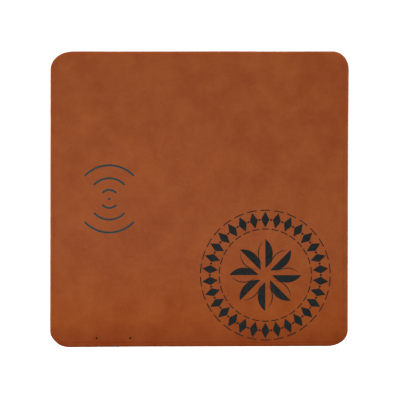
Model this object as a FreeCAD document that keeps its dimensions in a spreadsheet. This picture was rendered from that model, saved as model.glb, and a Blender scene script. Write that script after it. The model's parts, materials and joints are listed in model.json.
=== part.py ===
"""Square leatherette desk mat with a wireless phone charger built into its left half.

Frame: millimetres, +Z up, +X to the user's right, +Y away from the user. The origin is the centre of the
rest face. From below, the mat is a non-slip base sheet, a stiff core board, a padding sheet and a
leatherette cover, whose edge is rolled round the core and turned under it as a hem. The charging coil sits
in a round hole in the core. Its circuit board sits in a housing at the front edge, round the USB-C socket.
"""

import FreeCAD, Part
import math
import os

import Sketcher
from FreeCAD import Rotation, Vector

SIZES = {
    # the mat
    "mat_width": 260.0,
    "mat_depth": 258.2,
    "mat_height": 6.6,
    "corner_radius": 16.0,
    "edge_radius": 2.85,
    "base_thickness": 0.8,
    "base_inset": 3.5,
    "base_edge": 0.2,
    "leather_thickness": 1.0,
    "film_thickness": 0.2,
    "padding_thickness": 0.6,
    "hem_width": 12.0,
    "glue_gap": 0.05,
    "core_gap": 0.2,
    "core_edge": 1.5,
    # the charging spot and its engraved symbol
    "coil_x": -78.7,
    "coil_y": 0.0,
    "symbol_arc_small": 7.9,
    "symbol_arc_middle": 18.1,
    "symbol_arc_large": 29.4,
    "symbol_line": 1.65,
    "symbol_half_angle": 45.5,
    "symbol_dot": 1.1,
    # the engraved ornament
    "ornament_x": 57.7,
    "ornament_y": -66.6,
    "ring_radius": 48.5,
    "ring_half_width": 8.2,
    "ring_count": 30,
    "ring_dot": 0.95,
    "lozenge_length": 14.0,
    "lozenge_width": 7.4,
    "dash_half_angle": 3.9,
    "petal_count": 8,
    "petal_start": 6.0,
    "petal_end": 31.5,
    "petal_width": 13.2,
    "fine_line": 0.9,
    # coil stack
    "carrier_radius": 29.0,
    "carrier_wall": 1.2,
    "carrier_floor": 0.5,
    "spreader_radius": 27.2,
    "spreader_thickness": 0.3,
    "ferrite_radius": 26.5,
    "ferrite_thickness": 1.0,
    "ferrite_edge": 0.2,
    "adhesive_thickness": 0.1,
    "wire_radius": 0.52,
    "coil_start": 10.5,
    "coil_pitch": 1.15,
    "coil_turns": 12,
    "lead_radius": 0.5,
    "fine_lead_radius": 0.2,
    "fine_lead_pitch": 0.9,
    "inner_lead_offset": 2.6,
    "outer_lead_offset": 3.2,
    "lead_overlap": 1.6,
    "lead_bend": 1.2,
    "lead_bend_tight": 0.55,
    "lead_run_out": 1.2,
    "lead_slope": 4.5,
    "bead_offset": 1.4,
    "bead_radius": 1.4,
    "bead_height": 1.8,
    "film_disc": 0.1,
    "channel_width": 12.0,
    # housing at the front edge
    "port_x": -75.1,
    "housing_width": 48.0,
    "housing_depth": 33.4,
    "housing_wall": 1.2,
    "housing_floor": 0.6,
    "lid_thickness": 0.5,
    "boss_radius": 2.0,
    "screw_span_x": 42.0,
    "screw_front": 4.2,
    "screw_span_y": 27.1,
    "screw_head_radius": 1.05,
    "screw_shank_radius": 0.58,
    "screw_length": 2.6,
    "screw_tip": 0.35,
    "screw_cross": 1.3,
    "screw_slot": 0.3,
    "thread_gap": 0.02,
    # circuit board
    "board_width": 36.4,
    "board_depth": 25.6,
    "board_front": 3.1,
    "board_thickness": 0.8,
    "board_corner": 1.0,
    "board_lift": 0.4,
    "rail_length": 20.5,
    # lamps
    "led_pitch": 29.4,
    "led_inset": 7.4,
    "led_height": 0.6,
    "pinhole_radius": 0.9,
    "pipe_radius": 0.85,
    "pipe_flange_radius": 1.4,
    "pipe_recess": 0.45,
    # USB-C socket
    "shell_width": 8.94,
    "shell_height": 3.16,
    "shell_length": 7.5,
    "shell_wall": 0.3,
    "shell_recess": 0.7,
    "shell_flat_inset": 0.5,
    "wing_reach": 1.4,
    "wing_width": 1.2,
    "wing_inset": 1.2,
    "wing_pitch": 3.0,
    "tongue_recess": 0.8,
    "tongue_width": 6.7,
    "tongue_thickness": 0.7,
    "tongue_length": 5.2,
    "contact_pitch": 0.5,
    "contact_width": 0.25,
    "contact_length": 3.8,
    "contact_thickness": 0.06,
    "contact_count": 12,
    "bezel_width": 10.4,
    "bezel_height": 4.2,
    "bezel_depth": 2.15,
    "bezel_proud": 0.4,
    "bezel_edge": 0.15,
}

# Heights and places that many pieces share, as expressions of the sizes above.
HEM_TOP = "(dims.base_thickness + dims.leather_thickness)"
COVER_UNDERSIDE = "(dims.mat_height - dims.leather_thickness)"
PADDING_BOTTOM = f"({COVER_UNDERSIDE} - dims.padding_thickness)"
MID_HEIGHT = "((dims.mat_height + dims.base_thickness) / 2)"
HOUSING_BOTTOM = f"({HEM_TOP} + dims.glue_gap)"
HOUSING_TOP = f"({COVER_UNDERSIDE} - dims.glue_gap)"
LID_BOTTOM = f"({HOUSING_TOP} - dims.lid_thickness)"
HOUSING_FLOOR_TOP = f"({HOUSING_BOTTOM} + dims.housing_floor)"
BOARD_BOTTOM = f"({HOUSING_FLOOR_TOP} + dims.board_lift)"
BOARD_TOP = f"({BOARD_BOTTOM} + dims.board_thickness)"
FRONT = "(-dims.mat_depth / 2)"
HOUSING_FRONT = f"({FRONT} + dims.leather_thickness + dims.glue_gap)"
HOUSING_BACK = f"({HOUSING_FRONT} + dims.housing_depth)"
BOARD_FRONT = f"({FRONT} + dims.board_front)"
BOARD_BACK = f"({BOARD_FRONT} + dims.board_depth)"
LED_Y = f"({FRONT} + dims.led_inset)"
SCREW_FRONT_Y = f"({FRONT} + dims.screw_front)"
CARRIER_TOP = f"({PADDING_BOTTOM} - dims.film_disc)"
CARRIER_FLOOR_TOP = "(dims.base_thickness + dims.carrier_floor)"
FERRITE_BOTTOM = f"({CARRIER_FLOOR_TOP} + dims.spreader_thickness)"
FERRITE_TOP = f"({FERRITE_BOTTOM} + dims.ferrite_thickness)"
COIL_BOTTOM = f"({FERRITE_TOP} + dims.adhesive_thickness)"
COIL_MIDDLE = f"({COIL_BOTTOM} + dims.wire_radius)"
WINDING_TOP = f"({COIL_MIDDLE} + dims.wire_radius + dims.glue_gap)"
WINDING_START = "(dims.coil_y - dims.coil_start)"
WINDING_END = f"({WINDING_START} - dims.coil_pitch * dims.coil_turns)"
WINDING_EDGE = f"({WINDING_END} - dims.wire_radius)"
BEAD_X = "(dims.coil_x + dims.bead_offset)"
BEAD_MIDDLE = f"({FERRITE_TOP} + dims.bead_height / 2)"
INNER_LEAD_X = "(dims.coil_x - dims.inner_lead_offset)"
OUTER_LEAD_X = "(dims.coil_x + dims.outer_lead_offset)"
FINE_LEAD_XS = [f"({BEAD_X} {side} dims.fine_lead_pitch / 2)" for side in "-+"]
LEAD_END = f"({BOARD_BACK} - dims.lead_overlap)"
SOCKET_MOUTH = f"({FRONT} + dims.shell_recess)"
SOCKET_BACK = f"({SOCKET_MOUTH} + dims.shell_length)"
RECESS_WIDTH = "(dims.shell_width - 2 * dims.shell_flat_inset)"
SHELL_INNER_WIDTH = "(dims.shell_width - 2 * dims.shell_wall)"
SHELL_INNER_HEIGHT = "(dims.shell_height - 2 * dims.shell_wall)"

# How much wider an opening is than what passes through it, and how far a cut runs past its piece.
OPENING_GAP = 0.1
CUT_MARGIN = 1.0
FULL_TURN = 360.0
TOLERANCE = 1e-4

doc = FreeCAD.newDocument("charging_mat")
pieces = []


# ---------------------------------------------------------------- document helpers


def add_sheet():
    """The spreadsheet of driving sizes: column A names them and column B, with the alias, holds them."""
    sheet = doc.addObject("Spreadsheet::Sheet", "dims")
    for row, (alias, number) in enumerate(SIZES.items(), start=1):
        sheet.set(f"A{row}", alias)
        sheet.set(f"B{row}", str(number))
        sheet.setAlias(f"B{row}", alias)
    doc.recompute()
    return sheet


def value(expression):
    """What an expression of the sheet's cells comes to now."""
    return float(dims.evalExpression(expression))


def piece(obj, label):
    """Marks obj as a finished sub-part, exported under its label."""
    obj.Label = label
    pieces.append(obj)
    return obj


def new_body(name):
    return doc.addObject("PartDesign::Body", name)


def new_sketch(body, name, plane="XY_Plane", x="0", y="0", z="0"):
    """A sketch on one of the body's origin planes, moved by x, y, z in the plane's own axes."""
    sketch = body.newObject("Sketcher::SketchObject", f"{body.Name}_{name}")
    support = next(f for f in body.Origin.OriginFeatures if f.Role == plane)
    sketch.AttachmentSupport = [(support, "")]
    sketch.MapMode = "FlatFace"
    for axis, expression in (("x", x), ("y", y), ("z", z)):
        sketch.setExpression(f"AttachmentOffset.Base.{axis}", expression)
    return sketch


def constrain(sketch, name, expression, kind, *geometry):
    """Adds a dimension to the sketch and binds it to the sheet."""
    index = sketch.addConstraint(Sketcher.Constraint(kind, *geometry, value(expression)))
    sketch.renameConstraint(index, name)
    sketch.setExpression(f"Constraints.{name}", expression)


def join_loop(sketch, first, count, tangent):
    """Joins consecutive edges end to start, tangentially where tangent is true."""
    kind = "Tangent" if tangent else "Coincident"
    for i in range(count):
        joined = Sketcher.Constraint(kind, first + i, 2, first + (i + 1) % count, 1)
        sketch.addConstraint(joined)


def pin_point(sketch, geometry, point, x, y):
    """Fixes a point of the sketch at x, y; a coordinate given as "0" lies on that axis."""
    for axis, expression, line in (("X", x, -2), ("Y", y, -1)):
        if expression == "0":
            sketch.addConstraint(Sketcher.Constraint("PointOnObject", geometry, point, line))
        else:
            name = f"at{axis}{geometry}_{point}"
            constrain(sketch, name, expression, f"Distance{axis}", -1, 1, geometry, point)


def draw_rectangle(sketch, width, depth, x="0", y="0"):
    """A rectangle centred on x, y of the sketch."""
    w, d = value(width) / 2, value(depth) / 2
    centre = Vector(value(x), value(y))
    corners = [centre + Vector(*c) for c in ((-w, -d), (w, -d), (w, d), (-w, d))]
    first = sketch.GeometryCount
    for i in range(4):
        sketch.addGeometry(Part.LineSegment(corners[i], corners[(i + 1) % 4]))
    join_loop(sketch, first, 4, tangent=False)
    for i in range(4):
        direction = "Horizontal" if i % 2 == 0 else "Vertical"
        sketch.addConstraint(Sketcher.Constraint(direction, first + i))
    pin_point(sketch, first, 1, f"{x} - ({width}) / 2", f"{y} - ({depth}) / 2")
    constrain(sketch, f"width{first}", width, "DistanceX", first, 1, first, 2)
    constrain(sketch, f"depth{first}", depth, "DistanceY", first + 1, 1, first + 1, 2)


def draw_rounded_rectangle(sketch, width, depth, radius):
    """A rectangle with round corners, centred on the sketch's origin."""
    w, d, r = value(width) / 2, value(depth) / 2, value(radius)
    up = Vector(0, 0, 1)
    first = sketch.GeometryCount
    for turn, (a, b) in enumerate(((w, d), (d, w), (w, d), (d, w))):
        rotation = Rotation(up, 90 * turn)
        line = (rotation.multVec(Vector(r - a, -b)), rotation.multVec(Vector(a - r, -b)))
        centre = rotation.multVec(Vector(a - r, r - b))
        start = math.radians(90 * turn - 90)
        sketch.addGeometry(Part.LineSegment(*line))
        corner = Part.Circle(centre, up, r)
        sketch.addGeometry(Part.ArcOfCircle(corner, start, start + math.pi / 2))
    join_loop(sketch, first, 8, tangent=True)
    for i in range(4):
        direction = "Horizontal" if i % 2 == 0 else "Vertical"
        sketch.addConstraint(Sketcher.Constraint(direction, first + 2 * i))
    for i in (1, 3, 5):
        sketch.addConstraint(Sketcher.Constraint("Equal", first + i, first + i + 2))
    centre_pair = (first, 1, first + 4, 1, -1, 1)
    sketch.addConstraint(Sketcher.Constraint("Symmetric", *centre_pair))
    constrain(sketch, f"width{first}", width, "DistanceX", first + 6, 1, first + 2, 1)
    constrain(sketch, f"depth{first}", depth, "DistanceY", first, 1, first + 4, 1)
    constrain(sketch, f"radius{first}", radius, "Radius", first + 1)


def draw_stadium(sketch, width, height):
    """A bar with half-round ends along the sketch's x axis, centred on its origin."""
    r = value(height) / 2
    reach = value(width) / 2 - r
    up = Vector(0, 0, 1)
    first = sketch.GeometryCount
    sketch.addGeometry(Part.LineSegment(Vector(-reach, -r), Vector(reach, -r)))
    right = Part.Circle(Vector(reach, 0), up, r)
    sketch.addGeometry(Part.ArcOfCircle(right, -math.pi / 2, math.pi / 2))
    sketch.addGeometry(Part.LineSegment(Vector(reach, r), Vector(-reach, r)))
    left = Part.Circle(Vector(-reach, 0), up, r)
    sketch.addGeometry(Part.ArcOfCircle(left, math.pi / 2, 3 * math.pi / 2))
    join_loop(sketch, first, 4, tangent=True)
    sketch.addConstraint(Sketcher.Constraint("Horizontal", first))
    sketch.addConstraint(Sketcher.Constraint("Equal", first + 1, first + 3))
    sketch.addConstraint(Sketcher.Constraint("Symmetric", first, 1, first + 2, 1, -1, 1))
    constrain(sketch, f"radius{first}", f"({height}) / 2", "Radius", first + 1)
    straight = f"{width} - ({height})"
    constrain(sketch, f"straight{first}", straight, "DistanceX", first, 1, first, 2)


def draw_circle(sketch, radius, x="0", y="0"):
    """A circle at x, y of the sketch."""
    centre = Vector(value(x), value(y))
    circle = sketch.addGeometry(Part.Circle(centre, Vector(0, 0, 1), value(radius)))
    constrain(sketch, f"radius{circle}", radius, "Radius", circle)
    pin_point(sketch, circle, 3, x, y)


def extrude(body, kind, sketch, length, backwards=False):
    """A Pad or Pocket of the sketch, which becomes the body's tip."""
    feature = body.newObject(f"PartDesign::{kind}", f"{sketch.Name}_{kind.lower()}")
    feature.Profile = sketch
    feature.setExpression("Length", length)
    feature.Reversed = backwards
    doc.recompute()
    return feature


def pad(body, sketch, length, backwards=False):
    return extrude(body, "Pad", sketch, length, backwards)


def pocket(body, sketch, length, backwards=False):
    """Cuts against the sketch's normal, or along it if backwards; stops if it removed nothing."""
    before = body.Tip.Shape.Volume
    feature = extrude(body, "Pocket", sketch, length, backwards)
    if feature.Shape.Volume >= before - TOLERANCE:
        raise RuntimeError(f"{feature.Name} cut nothing from {body.Name}")
    return feature


def dress_edges(body, kind, prop, size, chosen):
    """A Fillet or Chamfer of the edges of the body's tip for which chosen(edge) is true."""
    base = body.Tip
    names = [f"Edge{i}" for i, edge in enumerate(base.Shape.Edges, 1) if chosen(edge)]
    feature = body.newObject(f"PartDesign::{kind}", f"{base.Name}_{kind.lower()}")
    feature.Base = (base, names)
    feature.setExpression(prop, size)
    doc.recompute()
    return feature


def fillet(body, radius, chosen):
    return dress_edges(body, "Fillet", "Radius", radius, chosen)


def chamfer(body, size, chosen):
    return dress_edges(body, "Chamfer", "Size", size, chosen)


def polar_pattern(body, features, sketch, count):
    """Repeats the features round the sketch's normal."""
    pattern = body.newObject("PartDesign::PolarPattern", f"{features[0].Name}_ring")
    pattern.Originals = features
    pattern.Axis = (sketch, ["N_Axis"])
    pattern.Angle = FULL_TURN
    pattern.setExpression("Occurrences", count)
    body.Tip = pattern
    doc.recompute()
    return pattern


def subtract_body(body, tool):
    """Cuts another body from this one, inside this one's feature tree."""
    feature = body.newObject("PartDesign::Boolean", f"{body.Name}_minus_{tool.Name}")
    feature.setObjects([tool])
    feature.Type = "Cut"
    doc.recompute()
    return feature


def combine(kind, name, base, tool):
    """A Part::Cut or Part::Common of two objects."""
    feature = doc.addObject(f"Part::{kind}", name)
    feature.Base = base
    feature.Tool = tool
    doc.recompute()
    return feature


def place(obj, x="0", y="0", z="0"):
    """Binds the place of an object to the sheet."""
    for axis, expression in (("x", x), ("y", y), ("z", z)):
        obj.setExpression(f"Placement.Base.{axis}", expression)
    return obj


def add_box(name, size, centre_x, centre_y, bottom):
    """A block of the given size (x, y, z) standing on the height bottom."""
    box = doc.addObject("Part::Box", name)
    for prop, expression in zip(("Length", "Width", "Height"), size):
        box.setExpression(prop, expression)
    return place(box, f"{centre_x} - ({size[0]}) / 2", f"{centre_y} - ({size[1]}) / 2", bottom)


def add_cylinder(name, radius, height, x, y, bottom):
    cylinder = doc.addObject("Part::Cylinder", name)
    cylinder.setExpression("Radius", radius)
    cylinder.setExpression("Height", height)
    return place(cylinder, x, y, bottom)


def add_cone(name, bottom_radius, top_radius, height):
    cone = doc.addObject("Part::Cone", name)
    cone.setExpression("Radius1", bottom_radius)
    cone.setExpression("Radius2", top_radius)
    cone.setExpression("Height", height)
    return cone


def add_group(label, members):
    """One node that holds several separate solids."""
    group = doc.addObject("Part::Compound", label)
    group.Links = members
    doc.recompute()
    return piece(group, label)


# ---------------------------------------------------------------- shared shapes


def is_horizontal(edge, height):
    """True for an edge that lies at one height."""
    box = edge.BoundBox
    return abs(box.ZMin - height) < TOLERANCE and abs(box.ZMax - height) < TOLERANCE


def cover_slab(name, inset):
    """The outside of the rolled cover, offset inwards by inset: a slab with a bullnose edge."""
    body = new_body(name)
    bottom = f"(dims.base_thickness + {inset})"
    sketch = new_sketch(body, "outline", z=bottom)
    width = f"dims.mat_width - 2 * {inset}"
    depth = f"dims.mat_depth - 2 * {inset}"
    draw_rounded_rectangle(sketch, width, depth, f"dims.corner_radius - {inset}")
    height = f"dims.mat_height - dims.base_thickness - 2 * {inset}"
    pad(body, sketch, height)
    low = value(bottom)
    high = low + value(height)
    fillet(body, f"dims.edge_radius - {inset}", lambda e: is_horizontal(e, low) or is_horizontal(e, high))
    return body


def cut_hem_opening(body):
    """Opens the cover's underside inside the hem."""
    sketch = new_sketch(body, "hem_opening")
    width = "dims.mat_width - 2 * dims.hem_width"
    depth = "dims.mat_depth - 2 * dims.hem_width"
    draw_rounded_rectangle(sketch, width, depth, "dims.corner_radius / 2")
    pocket(body, sketch, f"{HEM_TOP} + dims.glue_gap", backwards=True)


def cut_port_opening(body):
    """Opens the cover's front edge for the USB socket's bezel."""
    where = {"x": "dims.port_x", "y": MID_HEIGHT, "z": f"-{FRONT} + {CUT_MARGIN}"}
    sketch = new_sketch(body, "port_opening", "XZ_Plane", **where)
    draw_stadium(sketch, f"dims.bezel_width + {OPENING_GAP}", f"dims.bezel_height + {OPENING_GAP}")
    pocket(body, sketch, f"dims.edge_radius + {CUT_MARGIN}")


def cut_pinholes(body):
    """Opens the cover above the two lamps."""
    sketch = new_sketch(body, "pinholes", x="dims.port_x", y=LED_Y, z="dims.mat_height")
    for side in ("-", ""):
        draw_circle(sketch, "dims.pinhole_radius", x=f"{side}dims.led_pitch / 2")
    pocket(body, sketch, "dims.leather_thickness + dims.glue_gap")


# ---------------------------------------------------------------- engraving


def add_arc(sketch, centre, radius, start, end):
    circle = Part.Circle(centre, Vector(0, 0, 1), radius)
    return sketch.addGeometry(Part.ArcOfCircle(circle, start, end))


def draw_arc_band(sketch, radius, line, half_angle, side):
    """A line along an arc above (side 1) or below (side -1) the sketch's origin, with round ends."""
    r, half_line, reach = value(radius), value(line) / 2, math.radians(value(half_angle))
    start, end = side * math.pi / 2 - reach, side * math.pi / 2 + reach
    start_point = Vector(r * math.cos(start), r * math.sin(start))
    end_point = Vector(r * math.cos(end), r * math.sin(end))
    outer = add_arc(sketch, Vector(), r + half_line, start, end)
    inner = add_arc(sketch, Vector(), r - half_line, start, end)
    start_cap = add_arc(sketch, start_point, half_line, start + math.pi, start + 2 * math.pi)
    end_cap = add_arc(sketch, end_point, half_line, end, end + math.pi)
    end_joints = ((outer, 2, end_cap, 1), (end_cap, 2, inner, 2))
    start_joints = ((inner, 1, start_cap, 1), (start_cap, 2, outer, 1))
    for joint in end_joints + start_joints:
        sketch.addConstraint(Sketcher.Constraint("Tangent", *joint))
    for arc in (outer, inner):
        sketch.addConstraint(Sketcher.Constraint("Coincident", arc, 3, -1, 1))
    constrain(sketch, f"radius{outer}", f"{radius} + {line} / 2", "Radius", outer)
    constrain(sketch, f"radius{inner}", f"{radius} - {line} / 2", "Radius", inner)
    across = f"({radius}) * sin({half_angle})"
    constrain(sketch, f"reach{start_cap}", f"{side} * {across}", "DistanceX", -1, 1, start_cap, 3)
    constrain(sketch, f"reach{end_cap}", f"{-side} * {across}", "DistanceX", -1, 1, end_cap, 3)


def engrave_charging_symbol(body):
    """Three arcs above and three below a dot, which mark the middle of the coil."""
    sketch = new_sketch(body, "symbol", x="dims.coil_x", y="dims.coil_y", z="dims.mat_height")
    for side in (1, -1):
        for arc in ("small", "middle", "large"):
            radius = f"dims.symbol_arc_{arc}"
            draw_arc_band(sketch, radius, "dims.symbol_line", "dims.symbol_half_angle", side)
    draw_circle(sketch, "dims.symbol_dot")
    pocket(body, sketch, "dims.film_thickness")


def draw_bow(sketch, start, end, bulges):
    """Two curves from start to end that bulge by the given amounts to the left; "0" is a straight line."""
    a, b = [Vector(value(x), value(y)) for x, y in (start, end)]
    left = Vector(a.y - b.y, b.x - a.x).normalize()
    chord = f"hypot({end[0]} - ({start[0]}); {end[1]} - ({start[1]}))"
    ends = []
    for bulge in bulges:
        if bulge == "0":
            curve = sketch.addGeometry(Part.LineSegment(a, b))
        else:
            middle = (a + b) / 2 + left * value(bulge)
            curve = sketch.addGeometry(Part.Arc(a, middle, b))
            radius = f"(({chord}) ^ 2 / 4 + ({bulge}) ^ 2) / (2 * abs({bulge}))"
            constrain(sketch, f"radius{curve}", radius, "Radius", curve)
        begins_at_start = sketch.getPoint(curve, 1).distanceToPoint(a) < TOLERANCE
        ends.append((curve, 1, 2) if begins_at_start else (curve, 2, 1))
    (first, first_start, first_end), (second, second_start, second_end) = ends
    pin_point(sketch, first, first_start, *start)
    pin_point(sketch, first, first_end, *end)
    sketch.addConstraint(Sketcher.Constraint("Coincident", first, first_start, second, second_start))
    sketch.addConstraint(Sketcher.Constraint("Coincident", first, first_end, second, second_end))


def draw_lozenge(sketch, middle_y, width, length):
    """A lozenge that points along the sketch's y axis, centred at the height middle_y."""
    tip = f"{middle_y} + ({length}) / 2"
    tail = f"{middle_y} - ({length}) / 2"
    corners = (("0", tail), (f"({width}) / 2", middle_y), ("0", tip), (f"-({width}) / 2", middle_y))
    points = [Vector(value(x), value(y)) for x, y in corners]
    first = sketch.GeometryCount
    for i in range(4):
        sketch.addGeometry(Part.LineSegment(points[i], points[(i + 1) % 4]))
    join_loop(sketch, first, 4, tangent=False)
    for i, corner in enumerate(corners):
        pin_point(sketch, first + i, 1, *corner)


def engrave_ring(body):
    """A ring of lozenges with dots between them, edged inside and outside by a broken line."""
    place_at = {"x": "dims.ornament_x", "y": "dims.ornament_y", "z": "dims.mat_height"}
    sketch = new_sketch(body, "ring_step", **place_at)
    draw_lozenge(sketch, "dims.ring_radius", "dims.lozenge_width", "dims.lozenge_length")
    half_step = "180 / dims.ring_count"
    dot_x = f"dims.ring_radius * sin({half_step})"
    dot_y = f"dims.ring_radius * cos({half_step})"
    draw_circle(sketch, "dims.ring_dot", x=dot_x, y=dot_y)
    for side in "-+":
        radius = f"(dims.ring_radius {side} dims.ring_half_width)"
        draw_arc_band(sketch, radius, "dims.fine_line", "dims.dash_half_angle", 1)
    feature = pocket(body, sketch, "dims.film_thickness")
    polar_pattern(body, [feature], sketch, "dims.ring_count")


def engrave_rosette(body):
    """Petals in the middle of the ring: one side of each is filled and the other is a fine line."""
    place_at = {"x": "dims.ornament_x", "y": "dims.ornament_y", "z": "dims.mat_height"}
    sketch = new_sketch(body, "petal", **place_at)
    draw_bow(sketch, ("dims.petal_start", "0"), ("dims.petal_end", "0"), ("0", "-dims.petal_width / 2"))
    rise = "1.5 * dims.fine_line"
    line_start = ("dims.petal_start + 2 * dims.fine_line", rise)
    line_end = ("dims.petal_end - 2 * dims.fine_line", rise)
    bulge = f"(dims.petal_width / 2 - {rise})"
    draw_bow(sketch, line_start, line_end, (bulge, f"{bulge} - dims.fine_line"))
    feature = pocket(body, sketch, "dims.film_thickness")
    polar_pattern(body, [feature], sketch, "dims.petal_count")


# ---------------------------------------------------------------- the mat


def make_leather_face():
    """The tan face film, engraved right through so that the dark backing shows."""
    body = cover_slab("leather_face", "0")
    subtract_body(body, cover_slab("film_inside", "dims.film_thickness"))
    cut_hem_opening(body)
    cut_port_opening(body)
    cut_pinholes(body)
    engrave_charging_symbol(body)
    engrave_ring(body)
    engrave_rosette(body)
    piece(body, "leather_face")


def make_leather_backing():
    """The dark carrier layer that the face film is bonded to."""
    body = cover_slab("leather_backing", "dims.film_thickness")
    subtract_body(body, cover_slab("cover_inside", "dims.leather_thickness"))
    cut_hem_opening(body)
    cut_port_opening(body)
    cut_pinholes(body)
    piece(body, "leather_backing")


def cut_housing_window(body, top, depth):
    """Cuts the room for the housing, open at the front edge."""
    clearance = "2 * dims.core_gap"
    reach = f"{HOUSING_BACK} + dims.core_gap - {FRONT}"
    sketch = new_sketch(body, "window", x="dims.port_x", y=f"{FRONT} + ({reach}) / 2", z=top)
    draw_rectangle(sketch, f"dims.housing_width + {clearance}", reach)
    pocket(body, sketch, depth)


def make_padding_sheet():
    body = new_body("padding_sheet")
    sketch = new_sketch(body, "outline", z=PADDING_BOTTOM)
    inset = "(dims.edge_radius + dims.glue_gap)"
    width, depth = f"dims.mat_width - 2 * {inset}", f"dims.mat_depth - 2 * {inset}"
    draw_rounded_rectangle(sketch, width, depth, f"dims.corner_radius - {inset}")
    pad(body, sketch, "dims.padding_thickness")
    cut_housing_window(body, COVER_UNDERSIDE, f"dims.padding_thickness + {CUT_MARGIN}")
    piece(body, "padding_sheet")


def make_core_board():
    """The stiff board: its rim rests on the hem, and its middle drops inside the hem to the base sheet."""
    body = new_body("core_board")
    rim_bottom = f"({HEM_TOP} + dims.glue_gap)"
    rim = new_sketch(body, "rim", z=rim_bottom)
    inset = "(dims.leather_thickness + dims.core_gap)"
    width, depth = f"dims.mat_width - 2 * {inset}", f"dims.mat_depth - 2 * {inset}"
    draw_rounded_rectangle(rim, width, depth, f"dims.corner_radius - {inset}")
    pad(body, rim, f"{PADDING_BOTTOM} - {rim_bottom}")
    low, high = value(rim_bottom), value(PADDING_BOTTOM)
    fillet(body, "dims.core_edge", lambda e: is_horizontal(e, low) or is_horizontal(e, high))

    middle = new_sketch(body, "middle", z="dims.base_thickness")
    inset = "(dims.hem_width + dims.core_gap)"
    width, depth = f"dims.mat_width - 2 * {inset}", f"dims.mat_depth - 2 * {inset}"
    draw_rounded_rectangle(middle, width, depth, "dims.corner_radius / 2 - dims.core_gap")
    pad(body, middle, f"{PADDING_BOTTOM} - dims.base_thickness")

    coil_hole = new_sketch(body, "coil_hole", x="dims.coil_x", y="dims.coil_y", z=PADDING_BOTTOM)
    draw_circle(coil_hole, "dims.carrier_radius + dims.core_gap")
    pocket(body, coil_hole, PADDING_BOTTOM)

    channel_back = "(dims.coil_y - dims.carrier_radius + 2 * dims.carrier_wall)"
    length = f"({channel_back} - {HOUSING_BACK})"
    centre_y = f"({channel_back} + {HOUSING_BACK}) / 2"
    channel = new_sketch(body, "channel", x="dims.coil_x", y=centre_y, z=PADDING_BOTTOM)
    draw_rectangle(channel, "dims.channel_width", length)
    pocket(body, channel, f"{PADDING_BOTTOM} - {FERRITE_TOP}")

    cut_housing_window(body, PADDING_BOTTOM, f"{PADDING_BOTTOM} - {HOUSING_BOTTOM}")
    piece(body, "core_board")


def make_base_sheet():
    body = new_body("base_sheet")
    sketch = new_sketch(body, "outline")
    width, depth = "dims.mat_width - 2 * dims.base_inset", "dims.mat_depth - 2 * dims.base_inset"
    draw_rounded_rectangle(sketch, width, depth, "dims.corner_radius - dims.base_inset")
    pad(body, sketch, "dims.base_thickness")
    fillet(body, "dims.base_edge", lambda e: is_horizontal(e, 0))
    piece(body, "base_sheet")


# ---------------------------------------------------------------- coil stack


def add_disc(label, radius, height, bottom):
    """A round sheet centred on the coil."""
    return piece(add_cylinder(label, radius, height, "dims.coil_x", "dims.coil_y", bottom), label)


def make_coil_carrier():
    body = new_body("coil_carrier")
    at_coil = {"x": "dims.coil_x", "y": "dims.coil_y"}
    outside = new_sketch(body, "outside", z="dims.base_thickness", **at_coil)
    draw_circle(outside, "dims.carrier_radius")
    pad(body, outside, f"{CARRIER_TOP} - dims.base_thickness")
    inside = new_sketch(body, "inside", z=CARRIER_TOP, **at_coil)
    draw_circle(inside, "dims.carrier_radius - dims.carrier_wall")
    pocket(body, inside, f"{CARRIER_TOP} - {CARRIER_FLOOR_TOP}")
    exit_y = "dims.coil_y - dims.carrier_radius"
    lead_exit = new_sketch(body, "lead_exit", x="dims.coil_x", y=exit_y, z=CARRIER_TOP)
    draw_rectangle(lead_exit, "dims.channel_width", "4 * dims.carrier_wall")
    pocket(body, lead_exit, f"{CARRIER_TOP} - {FERRITE_TOP}")
    piece(body, "coil_carrier")


def make_ferrite_plate():
    body = new_body("ferrite_plate")
    sketch = new_sketch(body, "outline", x="dims.coil_x", y="dims.coil_y", z=FERRITE_BOTTOM)
    draw_circle(sketch, "dims.ferrite_radius")
    pad(body, sketch, "dims.ferrite_thickness")
    fillet(body, "dims.ferrite_edge", lambda e: True)
    piece(body, "ferrite_plate")


def make_coil_adhesive():
    body = new_body("coil_adhesive")
    sketch = new_sketch(body, "ring", x="dims.coil_x", y="dims.coil_y", z=FERRITE_TOP)
    draw_circle(sketch, "dims.coil_start - dims.wire_radius")
    draw_circle(sketch, "dims.coil_start + dims.coil_pitch * dims.coil_turns + dims.wire_radius")
    pad(body, sketch, "dims.adhesive_thickness")
    piece(body, "coil_adhesive")


def make_charging_coil():
    """A flat spiral of litz wire that starts and ends on the side towards the circuit board."""
    spiral = doc.addObject("Part::Spiral", "coil_spine")
    spiral.setExpression("Radius", "dims.coil_start")
    spiral.setExpression("Growth", "dims.coil_pitch")
    spiral.setExpression("Rotations", "dims.coil_turns")
    spiral.Placement.Rotation = Rotation(Vector(0, 0, 1), -90)
    place(spiral, "dims.coil_x", "dims.coil_y", COIL_MIDDLE)
    section = doc.addObject("Part::Circle", "coil_wire_section")
    section.setExpression("Radius", "dims.wire_radius")
    section.Placement.Rotation = Rotation(Vector(0, 1, 0), 90)
    place(section, "dims.coil_x", "dims.coil_y - dims.coil_start", COIL_MIDDLE)
    doc.recompute()
    coil = doc.addObject("Part::Sweep", "charging_coil")
    coil.Sections = [section]
    coil.Spine = (spiral, [f"Edge{i + 1}" for i in range(len(spiral.Shape.Edges))])
    coil.Solid = True
    coil.Frenet = True
    doc.recompute()
    piece(coil, "charging_coil")


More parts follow.
